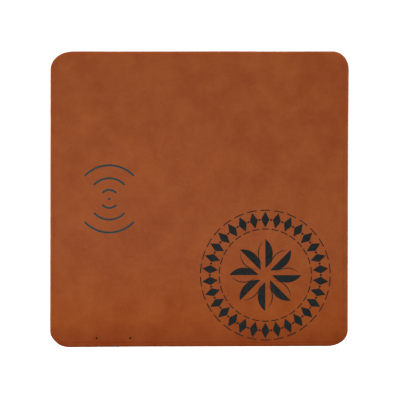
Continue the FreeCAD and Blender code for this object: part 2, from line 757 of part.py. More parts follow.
def rounded_path(points, bend):
    """A wire through the points, its corners rounded to the radius bend."""
    edges, here = [], points[0]
    for before, corner, after in zip(points, points[1:], points[2:]):
        back = (before - corner).normalize()
        onward = (after - corner).normalize()
        half = back.getAngle(onward) / 2
        if half > math.pi / 2 - TOLERANCE:
            continue
        reach = bend / math.tan(half)
        start, end = corner + back * reach, corner + onward * reach
        bisector = (back + onward).normalize()
        middle = corner + bisector * (bend / math.sin(half) - bend)
        edges.append(Part.makeLine(here, start))
        edges.append(Part.Arc(start, middle, end).toShape())
        here = end
    edges.append(Part.makeLine(here, points[-1]))
    return Part.Wire(edges)


def sweep_wire(points, radius, bend):
    """A round wire along the rounded path."""
    path = rounded_path(points, bend)
    direction = points[1] - points[0]
    section = Part.Wire([Part.makeCircle(radius, points[0], direction)])
    return path.makePipeShell([section], True, False)


def way_over_winding(x, height):
    """Where a lead at x leaves the winding's outer edge and comes down into the channel."""
    return [
        Vector(x, value(f"{WINDING_EDGE} - dims.lead_run_out"), height),
        Vector(x, value(f"{WINDING_EDGE} - dims.lead_run_out - dims.lead_slope"), value(COIL_MIDDLE)),
    ]


def way_to_board(x, radius):
    """Where a lead at x leaves the channel, rises into the housing and ends on the board."""
    pad_height = value(BOARD_TOP) + radius
    return [
        Vector(x, value(f"{HOUSING_BACK} + dims.housing_wall"), value(COIL_MIDDLE)),
        Vector(x, value(f"{BOARD_BACK} + dims.core_gap"), pad_height),
        Vector(x, value(LEAD_END), pad_height),
    ]


def make_coil_leads():
    """The winding's two ends: the inner one climbs over the winding and the outer one starts outside it."""
    coil_x, low, radius = value("dims.coil_x"), value(COIL_MIDDLE), value("dims.lead_radius")
    gap = value("dims.glue_gap")
    inner_x, outer_x = value(INNER_LEAD_X), value(OUTER_LEAD_X)
    start_y, end_y = value(WINDING_START), value(WINDING_END)
    cross = value(WINDING_TOP) + radius
    inner = [
        Vector(coil_x - gap, start_y, low),
        Vector((coil_x + inner_x) / 2, start_y, low),
        Vector(inner_x, start_y + radius, cross),
    ]
    inner += way_over_winding(inner_x, cross) + way_to_board(inner_x, radius)
    outer = [Vector(coil_x + gap, end_y, low), Vector(outer_x, end_y, low)]
    outer += way_to_board(outer_x, radius)
    bends = (value("dims.lead_bend_tight"), value("dims.lead_bend"))
    wires = [sweep_wire(points, radius, bend) for points, bend in zip((inner, outer), bends)]
    leads = doc.addObject("Part::Feature", "coil_leads")
    leads.Shape = Part.Compound(wires)
    piece(leads, "coil_leads")


def make_thermistor_leads():
    """Two fine wires from the bead, over the winding and along the channel."""
    radius, reach = value("dims.fine_lead_radius"), value("dims.lead_run_out") / 2
    cross = value(WINDING_TOP) + radius
    start_y = value("dims.coil_y - dims.bead_radius - dims.glue_gap")
    wires = []
    for expression in FINE_LEAD_XS:
        x = value(expression)
        points = [
            Vector(x, start_y, value(BEAD_MIDDLE)),
            Vector(x, start_y - reach, value(BEAD_MIDDLE)),
            Vector(x, start_y - 2 * reach, cross),
        ]
        points += way_over_winding(x, cross) + way_to_board(x, radius)
        wires.append(sweep_wire(points, radius, value("dims.lead_bend_tight") / 2))
    leads = doc.addObject("Part::Feature", "thermistor_leads")
    leads.Shape = Part.Compound(wires)
    piece(leads, "thermistor_leads")


def make_thermistor():
    """The epoxy bead that senses the coil's temperature, on the ferrite inside the winding."""
    bead = doc.addObject("Part::Ellipsoid", "thermistor")
    bead.setExpression("Radius1", "dims.bead_height / 2")
    bead.setExpression("Radius2", "dims.bead_radius")
    place(bead, BEAD_X, "dims.coil_y", BEAD_MIDDLE)
    piece(bead, "thermistor")


def make_channel_filler():
    """A foam strip that levels the lead channel under the padding."""
    back = f"({WINDING_EDGE} - dims.lead_run_out - dims.lead_slope - dims.lead_radius)"
    front = f"({HOUSING_BACK} + dims.housing_wall)"
    bottom = WINDING_TOP
    size = ("dims.channel_width - dims.core_gap", f"({back} - {front})", f"{PADDING_BOTTOM} - {bottom}")
    strip = add_box("channel_filler", size, "dims.coil_x", f"({back} + {front}) / 2", bottom)
    piece(strip, "channel_filler")


# ---------------------------------------------------------------- housing


def make_housing_envelope():
    """The outside of the closed housing, whose front follows the inside of the rolled cover."""
    body = new_body("housing_envelope")
    centre_y = f"({HOUSING_FRONT} + {HOUSING_BACK}) / 2"
    sketch = new_sketch(body, "outline", x="dims.port_x", y=centre_y, z=HOUSING_BOTTOM)
    draw_rectangle(sketch, "dims.housing_width", "dims.housing_depth")
    pad(body, sketch, f"{HOUSING_TOP} - {HOUSING_BOTTOM}")
    front, back = value(HOUSING_FRONT) + TOLERANCE, value(HOUSING_BACK) - TOLERANCE
    nose_radius = "dims.edge_radius - dims.leather_thickness - dims.glue_gap"
    fillet(body, nose_radius, lambda e: e.BoundBox.YMax < front and e.BoundBox.ZLength < TOLERANCE)
    fillet(body, "dims.housing_wall", lambda e: e.BoundBox.YMin > back and e.BoundBox.ZLength > TOLERANCE)
    return body


def screw_places():
    """The four screws' x and y, as expressions."""
    rows = (SCREW_FRONT_Y, f"({SCREW_FRONT_Y} + dims.screw_span_y)")
    sides = ("dims.port_x - dims.screw_span_x / 2", "dims.port_x + dims.screw_span_x / 2")
    return [(x, y) for y in rows for x in sides]


def draw_screw_circles(body, name, height, radius):
    sketch = new_sketch(body, name, z=height)
    for x, y in screw_places():
        draw_circle(sketch, radius, x, y)
    return sketch


def make_housing_tray(envelope):
    body = new_body("tray_body")
    centre_y = f"({HOUSING_FRONT} + {HOUSING_BACK}) / 2"
    centre = {"x": "dims.port_x", "y": centre_y}
    outside = new_sketch(body, "outside", z=HOUSING_BOTTOM, **centre)
    draw_rectangle(outside, "dims.housing_width", "dims.housing_depth")
    pad(body, outside, f"{LID_BOTTOM} - {HOUSING_BOTTOM}")

    inside = new_sketch(body, "inside", z=LID_BOTTOM, **centre)
    walls = "2 * dims.housing_wall"
    draw_rectangle(inside, f"dims.housing_width - {walls}", f"dims.housing_depth - {walls}")
    pocket(body, inside, f"{LID_BOTTOM} - {HOUSING_FLOOR_TOP}")

    bosses = draw_screw_circles(body, "bosses", HOUSING_FLOOR_TOP, "dims.boss_radius")
    pad(body, bosses, f"{LID_BOTTOM} - {HOUSING_FLOOR_TOP}")
    hole_radius = "dims.screw_shank_radius + dims.thread_gap"
    holes = draw_screw_circles(body, "screw_holes", LID_BOTTOM, hole_radius)
    pocket(body, holes, f"{LID_BOTTOM} - {HOUSING_FLOOR_TOP}")

    board_y = f"({BOARD_FRONT} + {BOARD_BACK}) / 2"
    rails = new_sketch(body, "rails", x="dims.port_x", y=board_y, z=HOUSING_FLOOR_TOP)
    for side in ("-", ""):
        rail_x = f"{side}(dims.board_width / 2 - dims.housing_wall)"
        draw_rectangle(rails, "dims.housing_wall", "dims.rail_length", x=rail_x)
    pad(body, rails, "dims.board_lift")

    socket_bottom = f"({MID_HEIGHT} - dims.shell_height / 2)"
    recess_length = f"({SOCKET_BACK} - {HOUSING_FRONT} - dims.housing_wall + dims.core_gap)"
    recess_y = f"{SOCKET_BACK} + dims.core_gap - {recess_length} / 2"
    recess = new_sketch(body, "socket_recess", x="dims.port_x", y=recess_y, z=HOUSING_FLOOR_TOP)
    draw_rectangle(recess, RECESS_WIDTH, recess_length)
    pocket(body, recess, f"{HOUSING_FLOOR_TOP} - {socket_bottom} + dims.glue_gap")

    port = new_sketch(body, "port", "XZ_Plane", x="dims.port_x", y=MID_HEIGHT, z=f"-{HOUSING_FRONT}")
    draw_stadium(port, f"dims.shell_width + {OPENING_GAP}", f"dims.shell_height + {OPENING_GAP}")
    pocket(body, port, "dims.housing_wall + dims.core_gap")

    slot_y = f"{HOUSING_BACK} - dims.housing_wall / 2"
    slot = new_sketch(body, "lead_slot", x="dims.coil_x", y=slot_y, z=LID_BOTTOM)
    draw_rectangle(slot, "dims.channel_width", "dims.housing_wall + 2 * dims.core_gap")
    pocket(body, slot, f"{LID_BOTTOM} - {FERRITE_TOP}")
    piece(combine("Common", "housing_tray", body, envelope), "housing_tray")


def make_housing_lid(envelope):
    body = new_body("lid_body")
    centre_y = f"({HOUSING_FRONT} + {HOUSING_BACK}) / 2"
    outline = new_sketch(body, "outline", x="dims.port_x", y=centre_y, z=LID_BOTTOM)
    draw_rectangle(outline, "dims.housing_width", "dims.housing_depth")
    pad(body, outline, "dims.lid_thickness")

    hole_radius = "(dims.screw_shank_radius + dims.glue_gap)"
    holes = draw_screw_circles(body, "screw_holes", HOUSING_TOP, hole_radius)
    pocket(body, holes, f"dims.lid_thickness + {CUT_MARGIN}")
    top = value(HOUSING_TOP)
    countersink = "dims.screw_head_radius - dims.screw_shank_radius"
    chamfer(body, countersink, lambda e: is_horizontal(e, top) and isinstance(e.Curve, Part.Circle))

    pipes = new_sketch(body, "pipe_holes", x="dims.port_x", y=LED_Y, z=HOUSING_TOP)
    for side in ("-", ""):
        draw_circle(pipes, "dims.pinhole_radius", x=f"{side}dims.led_pitch / 2")
    pocket(body, pipes, f"dims.lid_thickness + {CUT_MARGIN}")

    socket_top = f"({MID_HEIGHT} + dims.shell_height / 2)"
    length = f"({SOCKET_BACK} - {HOUSING_FRONT} + dims.core_gap)"
    recess_y = f"{HOUSING_FRONT} + {length} / 2"
    recess = new_sketch(body, "socket_recess", x="dims.port_x", y=recess_y, z=LID_BOTTOM)
    draw_rectangle(recess, RECESS_WIDTH, length)
    pocket(body, recess, f"{socket_top} - {LID_BOTTOM} + dims.glue_gap", backwards=True)
    piece(combine("Common", "housing_lid", body, envelope), "housing_lid")


def make_port_bezel(envelope):
    """A trim ring, slightly proud of the rolled edge, whose lips hook over the housing's nose."""
    body = new_body("bezel_body")
    face = f"({FRONT} - dims.bezel_proud)"
    where = {"x": "dims.port_x", "y": MID_HEIGHT, "z": f"-{face}"}
    depth = "(dims.bezel_depth + dims.bezel_proud)"
    outside = new_sketch(body, "outside", "XZ_Plane", **where)
    draw_stadium(outside, "dims.bezel_width", "dims.bezel_height")
    pad(body, outside, depth, backwards=True)
    inside = new_sketch(body, "inside", "XZ_Plane", **where)
    draw_stadium(inside, f"dims.shell_width + {OPENING_GAP}", f"dims.shell_height + {OPENING_GAP}")
    pocket(body, inside, f"{depth} + {CUT_MARGIN}")
    front = value(face) + TOLERANCE
    chamfer(body, "dims.bezel_edge", lambda e: e.BoundBox.YMax < front)
    piece(combine("Cut", "port_bezel", body, envelope), "port_bezel")


def make_screw(number, x, y):
    """A countersunk screw with a chamfered tip and a cross recess."""
    bottom = f"({HOUSING_TOP} - dims.screw_length)"
    head_height = "(dims.screw_head_radius - dims.screw_shank_radius)"
    shank_height = f"dims.screw_length - dims.screw_tip - {head_height}"
    shank_bottom = f"{bottom} + dims.screw_tip"
    radius = "dims.screw_shank_radius"
    shank = add_cylinder(f"shank_{number}", radius, shank_height, x, y, shank_bottom)
    tip = add_cone(f"tip_{number}", f"{radius} / 2", radius, "dims.screw_tip")
    place(tip, x, y, bottom)
    head = add_cone(f"head_{number}", radius, "dims.screw_head_radius", head_height)
    place(head, x, y, f"{HOUSING_TOP} - {head_height}")
    pointed = combine("Fuse", f"pointed_{number}", shank, tip)
    screw = combine("Fuse", f"blank_{number}", pointed, head)
    recess_bottom = f"{HOUSING_TOP} - dims.screw_slot"
    across = ("dims.screw_cross", "dims.screw_slot", "dims.screw_slot")
    along = ("dims.screw_slot", "dims.screw_cross", "dims.screw_slot")
    for name, size in (("across", across), ("along", along)):
        recess = add_box(f"recess_{name}_{number}", size, x, y, recess_bottom)
        screw = combine("Cut", f"screw_{name}_{number}", screw, recess)
    return screw


def make_housing_screws():
    add_group("housing_screws", [make_screw(i, x, y) for i, (x, y) in enumerate(screw_places(), 1)])


# ---------------------------------------------------------------- circuit board


def make_circuit_board():
    body = new_body("circuit_board")
    centre_y = f"({BOARD_FRONT} + {BOARD_BACK}) / 2"
    outline = new_sketch(body, "outline", x="dims.port_x", y=centre_y, z=BOARD_BOTTOM)
    draw_rounded_rectangle(outline, "dims.board_width", "dims.board_depth", "dims.board_corner")
    pad(body, outline, "dims.board_thickness")
    notch_length = f"({SOCKET_BACK} + dims.core_gap - {BOARD_FRONT})"
    notch = new_sketch(body, "notch", x="dims.port_x", y=BOARD_FRONT, z=BOARD_TOP)
    draw_rectangle(notch, "dims.shell_width + dims.core_gap", f"2 * {notch_length}")
    pocket(body, notch, f"dims.board_thickness + {CUT_MARGIN}")
    piece(body, "circuit_board")


def add_chips(label, size, places):
    """Equal blocks on the board, placed by x from the socket's middle and y from the board's front."""
    boxes = []
    for number, (x, y) in enumerate(places, 1):
        at = (f"(dims.port_x + {x})", f"({BOARD_FRONT} + {y})", BOARD_TOP)
        boxes.append(add_box(f"{label}_{number}", size, *at))
    if len(boxes) == 1:
        doc.recompute()
        piece(boxes[0], label)
    else:
        add_group(label, boxes)


def row_of(count, first_x, step_x, first_y, step_y):
    """Evenly spaced places on the board."""
    return [(first_x + step_x * i, first_y + step_y * i) for i in range(count)]


def make_components():
    add_chips("controller_chip", ("5", "5", "0.85"), [(1.5, 13)])
    add_chips("bridge_transistors", ("3.3", "3.3", "0.9"), row_of(2, -8, 0, 10.5, 5))
    add_chips("resonant_capacitors", ("3.2", "1.6", "1.2"), row_of(4, -14, 0, 12, 2.6))
    add_chips("input_inductor", ("4.2", "4.2", "1.25"), [(9.5, 9.5)])
    add_chips("crystal", ("3.2", "2.5", "0.8"), [(8, 15)])
    filters = row_of(2, 7.5, 2.2, 3.4, 0) + row_of(2, -7.5, -2.2, 3.4, 0) + row_of(3, -3.6, 0, 8.4, 3)
    add_chips("filter_capacitors", ("0.8", "1.6", "0.8"), filters)
    add_chips("resistors", ("0.5", "1", "0.35"), row_of(10, 4, 1.3, 20, 0))
    lamps = [(f"{side} dims.led_pitch / 2", "dims.led_inset - dims.board_front") for side in "-+"]
    add_chips("indicator_leds", ("1.6", "0.8", "dims.led_height"), lamps)


def make_solder_joints():
    """Small mounds of solder where the four leads end on the board."""
    thick, fine = "1.8 * dims.lead_radius", "2 * dims.fine_lead_radius"
    ends = [(INNER_LEAD_X, thick), (OUTER_LEAD_X, thick)] + [(x, fine) for x in FINE_LEAD_XS]
    joints = []
    for number, (x, size) in enumerate(ends, 1):
        joint = add_cone(f"solder_{number}", size, f"({size}) / 2", size)
        joints.append(place(joint, x, f"{LEAD_END} - {size}", BOARD_TOP))
    add_group("solder_joints", joints)


def make_light_pipes():
    """Two clear pegs that stand over the lamps and end just below the pinholes."""
    flange_bottom = f"({BOARD_TOP} + dims.led_height + dims.glue_gap)"
    stem_top = "(dims.mat_height - dims.pipe_recess)"
    flange_height = f"{LID_BOTTOM} - {flange_bottom}"
    stem_height = f"{stem_top} - {flange_bottom}"
    pipes = []
    for number, side in enumerate("-+", 1):
        at = (f"dims.port_x {side} dims.led_pitch / 2", LED_Y, flange_bottom)
        flange = add_cylinder(f"pipe_flange_{number}", "dims.pipe_flange_radius", flange_height, *at)
        stem = add_cylinder(f"pipe_stem_{number}", "dims.pipe_radius", stem_height, *at)
        pipes.append(combine("Fuse", f"light_pipe_{number}", flange, stem))
    add_group("light_pipes", pipes)


def socket_sketch(body, name, inset):
    """An upright sketch round the socket's axis, inset from its mouth."""
    normal_offset = f"-({SOCKET_MOUTH} + {inset})"
    return new_sketch(body, name, "XZ_Plane", x="dims.port_x", y=MID_HEIGHT, z=normal_offset)


def make_usb_shell():
    """The stamped steel shell, whose four wings are soldered to the board."""
    body = new_body("usb_shell")
    tube = socket_sketch(body, "tube", "0")
    draw_stadium(tube, "dims.shell_width", "dims.shell_height")
    draw_stadium(tube, SHELL_INNER_WIDTH, SHELL_INNER_HEIGHT)
    pad(body, tube, "dims.shell_length", backwards=True)
    wings = new_sketch(body, "wings", x="dims.port_x", y=BOARD_FRONT, z=BOARD_TOP)
    for side in ("-", ""):
        wing_x = f"{side}(dims.shell_width / 2 + dims.wing_reach / 2 - dims.shell_wall / 2)"
        for y in ("dims.wing_inset", "dims.wing_inset + dims.wing_pitch"):
            draw_rectangle(wings, "dims.wing_reach", "dims.wing_width", x=wing_x, y=y)
    pad(body, wings, "dims.shell_wall")
    piece(body, "usb_shell")


def make_usb_tongue():
    """The socket's plastic: a block that fills the shell's back, with a tongue in front of it."""
    body = new_body("usb_tongue")
    block = socket_sketch(body, "block", "dims.shell_length")
    draw_stadium(block, f"{SHELL_INNER_WIDTH} - dims.thread_gap", f"{SHELL_INNER_HEIGHT} - dims.thread_gap")
    pad(body, block, "dims.shell_length - dims.tongue_recess - dims.tongue_length")
    plate = socket_sketch(body, "plate", "dims.tongue_recess")
    draw_rectangle(plate, "dims.tongue_width", "dims.tongue_thickness")
    pad(body, plate, "dims.tongue_length + dims.core_gap", backwards=True)
    piece(body, "usb_tongue")


def make_usb_contacts():
    """Twelve contacts on each face of the tongue."""
    size = ("dims.contact_width", "dims.contact_length", "dims.contact_thickness")
    y = f"({SOCKET_MOUTH} + dims.tongue_recess + dims.tongue_length / 2)"
    rows = {
        "upper": f"{MID_HEIGHT} + dims.tongue_thickness / 2",
        "lower": f"{MID_HEIGHT} - dims.tongue_thickness / 2 - dims.contact_thickness",
    }
    contacts = []
    for row, bottom in rows.items():
        for number in range(SIZES["contact_count"]):
            x = f"(dims.port_x + ({number} - (dims.contact_count - 1) / 2) * dims.contact_pitch)"
            contacts.append(add_box(f"contact_{row}_{number + 1}", size, x, y, bottom))
    add_group("usb_contacts", contacts)


# ---------------------------------------------------------------- build and export


def check_document():
    """Stops if any object failed, or if a sub-part has no valid solid."""
    doc.recompute()
    for obj in doc.Objects:
        if "Invalid" in obj.State or "Error" in obj.State:
            raise RuntimeError(f"{obj.Name} failed: {obj.State}")
    for obj in pieces:
        if obj.Shape.isNull() or not obj.Shape.isValid() or not obj.Shape.Solids:
            raise RuntimeError(f"sub-part {obj.Label} has no valid solid")


def export_pieces():
    os.makedirs("parts", exist_ok=True)
    for obj in pieces:
        obj.Shape.exportStep(f"parts/{obj.Label}.step")
        box = obj.Shape.BoundBox
        size = f"{box.XLength:.1f} x {box.YLength:.1f} x {box.ZLength:.2f}"
        print(f"{obj.Label}: {len(obj.Shape.Solids)} solid(s), {size} mm, from z {box.ZMin:.2f}")


dims = add_sheet()
make_leather_face()
make_leather_backing()
make_padding_sheet()
make_core_board()
make_base_sheet()

make_coil_carrier()
add_disc("heat_spreader", "dims.spreader_radius", "dims.spreader_thickness", CARRIER_FLOOR_TOP)
make_ferrite_plate()
make_coil_adhesive()
make_charging_coil()
make_coil_leads()
make_thermistor_leads()
make_thermistor()
make_channel_filler()
add_disc("coil_cover_film", "dims.carrier_radius", "dims.film_disc", CARRIER_TOP)

housing_envelope = make_housing_envelope()
make_housing_tray(housing_envelope)
make_housing_lid(housing_envelope)
make_port_bezel(housing_envelope)
make_housing_screws()

make_circuit_board()
make_components()
make_solder_joints()
make_light_pipes()
make_usb_shell()
make_usb_tongue()
make_usb_contacts()

check_document()
export_pieces()
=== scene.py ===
import json
import math

import bmesh
import bpy
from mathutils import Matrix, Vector, noise
from mathutils.geometry import delaunay_2d_cdt


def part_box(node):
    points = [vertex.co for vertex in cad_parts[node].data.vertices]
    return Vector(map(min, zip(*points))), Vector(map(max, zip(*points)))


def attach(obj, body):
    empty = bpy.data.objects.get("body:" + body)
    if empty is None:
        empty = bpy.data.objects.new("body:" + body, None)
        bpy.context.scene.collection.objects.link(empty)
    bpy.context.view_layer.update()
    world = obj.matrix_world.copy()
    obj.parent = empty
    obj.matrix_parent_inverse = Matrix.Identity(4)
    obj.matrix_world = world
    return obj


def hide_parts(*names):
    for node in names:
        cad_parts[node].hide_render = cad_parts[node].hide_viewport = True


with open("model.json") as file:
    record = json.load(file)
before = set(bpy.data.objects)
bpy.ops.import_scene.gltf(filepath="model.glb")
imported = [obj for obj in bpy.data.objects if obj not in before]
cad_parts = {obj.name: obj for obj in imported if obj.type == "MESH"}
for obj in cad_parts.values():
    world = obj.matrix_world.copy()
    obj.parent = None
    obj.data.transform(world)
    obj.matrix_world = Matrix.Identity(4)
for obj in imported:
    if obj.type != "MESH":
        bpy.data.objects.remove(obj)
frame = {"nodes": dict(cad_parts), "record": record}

MM = 0.001
MICRON = 0.001 * MM
# Points nearer than this are one, and a face is flat where its normal's Z is over this.
MERGE, FLAT = 0.1 * MICRON, 0.99
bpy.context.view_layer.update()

# ---------------------------------------------------------------- places read from the CAD part

face_low, face_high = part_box("leather_face")
film_low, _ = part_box("leather_backing")
_, padding_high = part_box("padding_sheet")
pipes_low, pipes_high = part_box("light_pipes")
bezel_low, bezel_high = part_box("port_bezel")
carrier_low, carrier_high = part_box("coil_carrier")
coil_low, coil_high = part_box("charging_coil")

HALF_W = (face_high.x - face_low.x) / 2
HALF_D = (face_high.y - face_low.y) / 2
TOP = face_high.z
UNDER = face_low.z
FILM = film_low.z - face_low.z
THICK = TOP - padding_high.z
PORT = (bezel_low + bezel_high) / 2
PIPE_ROW = (pipes_low.y + pipes_high.y) / 2

# ---------------------------------------------------------------- sizes of the leather cover

STRAIGHT_EDGE = 0.1 * MM
ROLL = (TOP - UNDER - STRAIGHT_EDGE) / 2
ROLL_STEPS = 9
HEM = 12 * MM
HEM_CORNER = 8 * MM
HEM_BEVEL = 0.2 * MM
# Each corner's half-axes along x and y: front right, back right, back left, front left.
CORNERS = [Vector(axes) * MM for axes in ((18.2, 14.2), (13.4, 16.0), (19.6, 15.9), (17.2, 13.6))]
CORNER_SIGNS = ((1, -1), (1, 1), (-1, 1), (-1, -1))
CORNER_STEPS = 14
# Distances between mesh points: over the top, over its inside and along the engraved outlines.
TOP_SPACING, INSIDE_SPACING, OUTLINE_SPACING = 3.0 * MM, 6.0 * MM, 2.5 * MM
# Each second row of mesh points is shifted by this share of the spacing.
ROW_SHIFT = 0.3
RIM_INSETS = [inset * MM for inset in (5.2, 4.8, 4.45, 4.1, 3.75, 3.45, 3.15)]
HEM_INSETS = [inset * MM for inset in (4.5, 7, 10, 11.8)]
CEILING_INSETS = [inset * MM for inset in (4.0, 5.2)]
CREASE_INSET, CREASE_WIDTH, CREASE_DEPTH = 3.1 * MM, 0.8 * MM, 0.42 * MM
# The padded top's slow and quick undulations: height, scale and seed. They fade out towards the rim.
UNDULATIONS = ((0.11 * MM, 14, 3.1), (0.035 * MM, 42, 9.7))
RIM_FADE = 6 * MM
# Height over which the roll takes up the top's unevenness.
PADDED_BLEND = 0.8 * ROLL
# A pinhole is an outline of less than this area, this near to the row of light pipes.
PINHOLE_AREA, PINHOLE_STRAY = 3 * MM * MM, 1.5 * MM
PORT_GAP, PORT_REACH, PORT_STEPS = 0.06 * MM, 4.2 * MM, 16
SHARP_EDGE = 42

# How far the hand-wrapped edges stray: the sides shift and lean, the right one flares towards the back, and
# the front edge hangs lower towards its left end.
SIDE_BLEND = 18 * MM
END_BLEND, END_MARGIN = 4.5 * MM, 1.0 * MM
RIGHT_SHIFT, RIGHT_LEAN, RIGHT_FLARE = 0.02 * MM, 0.2 * MM, 0.65 * MM
LEFT_SHIFT, LEFT_LEAN = -0.42 * MM, 0.15 * MM
FRONT_SHIFT, FRONT_HANG, BACK_SHIFT = 0.22 * MM, 0.96 * MM, 0.06 * MM
# The hang starts at this x and grows to the left over the span, evenly at first and steeply at its end.
HANG_FROM, HANG_SPAN, HANG_LIMIT = 110 * MM, 221 * MM, 1.08
HANG_EVEN, HANG_POWER = 0.58, 6
WOBBLE, WOBBLE_SCALE, WOBBLE_SEED, WOBBLE_INSET = 0.09 * MM, 22, 5.0, 4.0 * MM
# Gathers where the cover is turned under at the corners. They fade out with height and at both ends.
GATHER_TOP, GATHER_BLEND, GATHER_DEPTH = 2.6 * MM, 2.4 * MM, 0.22 * MM
GATHER_WAVES, GATHER_FADE = 18, 0.3


# ---------------------------------------------------------------- cover: shapes


def smooth(t):
    """Eases from 0 to 1 as t goes from 0 to 1."""
    t = min(max(t, 0.0), 1.0)
    return t * t * (3 - 2 * t)


def ring(inset):
    """Points round the mat at the given inset, anticlockwise from the front left corner's end."""
    points = []
    hem_share = max(0.0, inset - ROLL) / (HEM - ROLL)
    shrunk = Vector((1, 1)) * min(inset, ROLL)
    radii = [(axes - shrunk).lerp(Vector((HEM_CORNER, HEM_CORNER)), hem_share) for axes in CORNERS]
    w, d = HALF_W - inset, HALF_D - inset
    centres = [Vector((sx * (w - r.x), sy * (d - r.y))) for r, (sx, sy) in zip(radii, CORNER_SIGNS)]
    for k, (centre, r) in enumerate(zip(centres, radii)):
        before = centres[k - 1]
        sign_x, sign_y = CORNER_SIGNS[k]
        if k % 2:
            start, end = Vector((w * sign_x, before.y)), Vector((w * sign_x, centre.y))
        else:
            start, end = Vector((before.x, d * sign_y)), Vector((centre.x, d * sign_y))
        count = round(2 * (HALF_W, HALF_D)[k % 2] / TOP_SPACING)
        points += [start.lerp(end, i / count) for i in range(count)]
        for i in range(CORNER_STEPS):
            a = math.pi / 2 * (k - 1 + i / CORNER_STEPS)
            points.append(centre + Vector((math.cos(a) * r.x, math.sin(a) * r.y)))
    return points


def undulation(x, y):
    """The slow rise and fall of the padded top."""
    total = 0.0
    for height, scale, seed in UNDULATIONS:
        total += height * noise.noise(Vector((x * scale, y * scale, seed)))
    return total


def crease(inset):
    """The roll stands a little proud, with a shallow valley inside it."""
    t = (inset - CREASE_INSET) / CREASE_WIDTH
    return -CREASE_DEPTH * math.exp(-t * t)


def edge_inset(x, y):
    """Distance in from the nearest side."""
    return min(HALF_W - abs(x), HALF_D - abs(y))


def top_height(x, y):
    """How far the top stands above its nominal height. The undulation fades out at the rim."""
    inset = edge_inset(x, y)
    return crease(inset) + undulation(x, y) * smooth(inset / RIM_FADE)


def warp(p):
    """Moves a point of the cover from the even outline to the hand-wrapped one."""
    x, y, z = p
    side = smooth((abs(x) - (HALF_W - SIDE_BLEND)) / SIDE_BLEND)
    along = y / HALF_D
    if x > 0:
        x += side * (RIGHT_SHIFT + RIGHT_LEAN * along + RIGHT_FLARE * max(along, 0.0) ** 2)
    else:
        x += side * (LEFT_SHIFT + LEFT_LEAN * along)
    end_start = HALF_D - END_MARGIN - END_BLEND
    front = smooth((-y - end_start) / END_BLEND)
    back = smooth((y - end_start) / END_BLEND)
    hang = min(max((HANG_FROM - x) / HANG_SPAN, 0.0), HANG_LIMIT)
    hang = HANG_EVEN * hang + (1 - HANG_EVEN) * hang**HANG_POWER
    y += front * (FRONT_SHIFT - FRONT_HANG * hang) - back * BACK_SHIFT
    wobble = noise.noise(Vector((x * WOBBLE_SCALE, y * WOBBLE_SCALE, WOBBLE_SEED))) * WOBBLE
    wobble *= smooth((WOBBLE_INSET - edge_inset(p[0], p[1])) / WOBBLE_INSET)
    if HALF_W - abs(x) < HALF_D - abs(y):
        x += math.copysign(1, x) * wobble
    else:
        y += math.copysign(1, y) * wobble
    return Vector((x, y, z))


def pleats(x, y, z):
    """How far small gathers stand out where the cover is turned under at the corners."""
    low = smooth((UNDER + GATHER_TOP - z) / GATHER_BLEND)
    cx, cy = HALF_W - CORNERS[0].x, HALF_D - CORNERS[0].x
    if low <= 0 or abs(x) < cx or abs(y) < cy:
        return 0.0
    angle = math.atan2(abs(y) - cy, abs(x) - cx)
    fade = smooth(angle / GATHER_FADE) * smooth((math.pi / 2 - angle) / GATHER_FADE)
    return GATHER_DEPTH * low * fade * math.sin(angle * GATHER_WAVES)


def planar_loops(node, height):
    """The outlines of a CAD node's upward faces at one height, each as a list of 2-D points."""
    mesh = frame["nodes"][node].data
    mesh.calc_loop_triangles()
    keys, spots = {}, []

    def key(i):
        co = mesh.vertices[i].co
        k = (round(co.x / MICRON), round(co.y / MICRON))
        if k not in keys:
            keys[k] = len(spots)
            spots.append(Vector((co.x, co.y)))
        return keys[k]

    edges = {}
    for t in mesh.loop_triangles:
        if t.normal.z < FLAT:
            continue
        if any(abs(mesh.vertices[i].co.z - height) > 2 * MICRON for i in t.vertices):
            continue
        ids = [key(i) for i in t.vertices]
        for a, b in zip(ids, ids[1:] + ids[:1]):
            if (b, a) in edges:
                del edges[(b, a)]
            else:
                edges[(a, b)] = True
    after = {a: b for a, b in edges}
    loops = []
    while after:
        start, here = next(iter(after.items()))
        loop = [start]
        del after[start]
        while here != start and here in after:
            loop.append(here)
            here = after.pop(here)
        loops.append([spots[i] for i in loop])
    return loops


def area(points):
    """Signed area of an outline, positive where it runs anticlockwise."""
    return sum(a.x * b.y - b.x * a.y for a, b in zip(points, points[1:] + points[:1])) / 2


def refine(points, longest):
    """Splits the outline's long edges."""
    out = []
    for a, b in zip(points, points[1:] + points[:1]):
        parts = max(1, math.ceil((b - a).length / longest))
        out += [a.lerp(b, i / parts) for i in range(parts)]
    return out


def triangulate(outer, inners, spacing):
    """Fills outer with triangles near the spacing. Returns points, triangles and each one's inner outline."""
    coords, faces = [], []
    for loop in [outer, *inners]:
        first = len(coords)
        loop = loop if area(loop) > 0 else loop[::-1]
        coords += [Vector((p.x, p.y)) for p in loop]
        faces.append(list(range(first, len(coords))))
    xs, ys = [p.x for p in outer], [p.y for p in outer]
    columns = round((max(xs) - min(xs)) / spacing)
    rows = round((max(ys) - min(ys)) / spacing)
    for i in range(1, columns):
        for j in range(1, rows):
            x = min(xs) + (max(xs) - min(xs)) * (i + ROW_SHIFT * (j % 2)) / columns
            y = min(ys) + (max(ys) - min(ys)) * j / rows
            coords.append(Vector((x, y)))
    whole_hull = 0
    verts, _, tris, _, _, owners = delaunay_2d_cdt(coords, [], faces, whole_hull, MERGE, True)
    kept, labels = [], []
    for tri, owner in zip(tris, owners):
        if 0 not in owner:
            continue
        inner = [o for o in owner if o > 0]
        kept.append(tri)
        labels.append(inner[0] - 1 if inner else -1)
    return verts, kept, labels


# ---------------------------------------------------------------- cover: mesh

TAN, ENGRAVED, CLOTH = 0, 1, 2


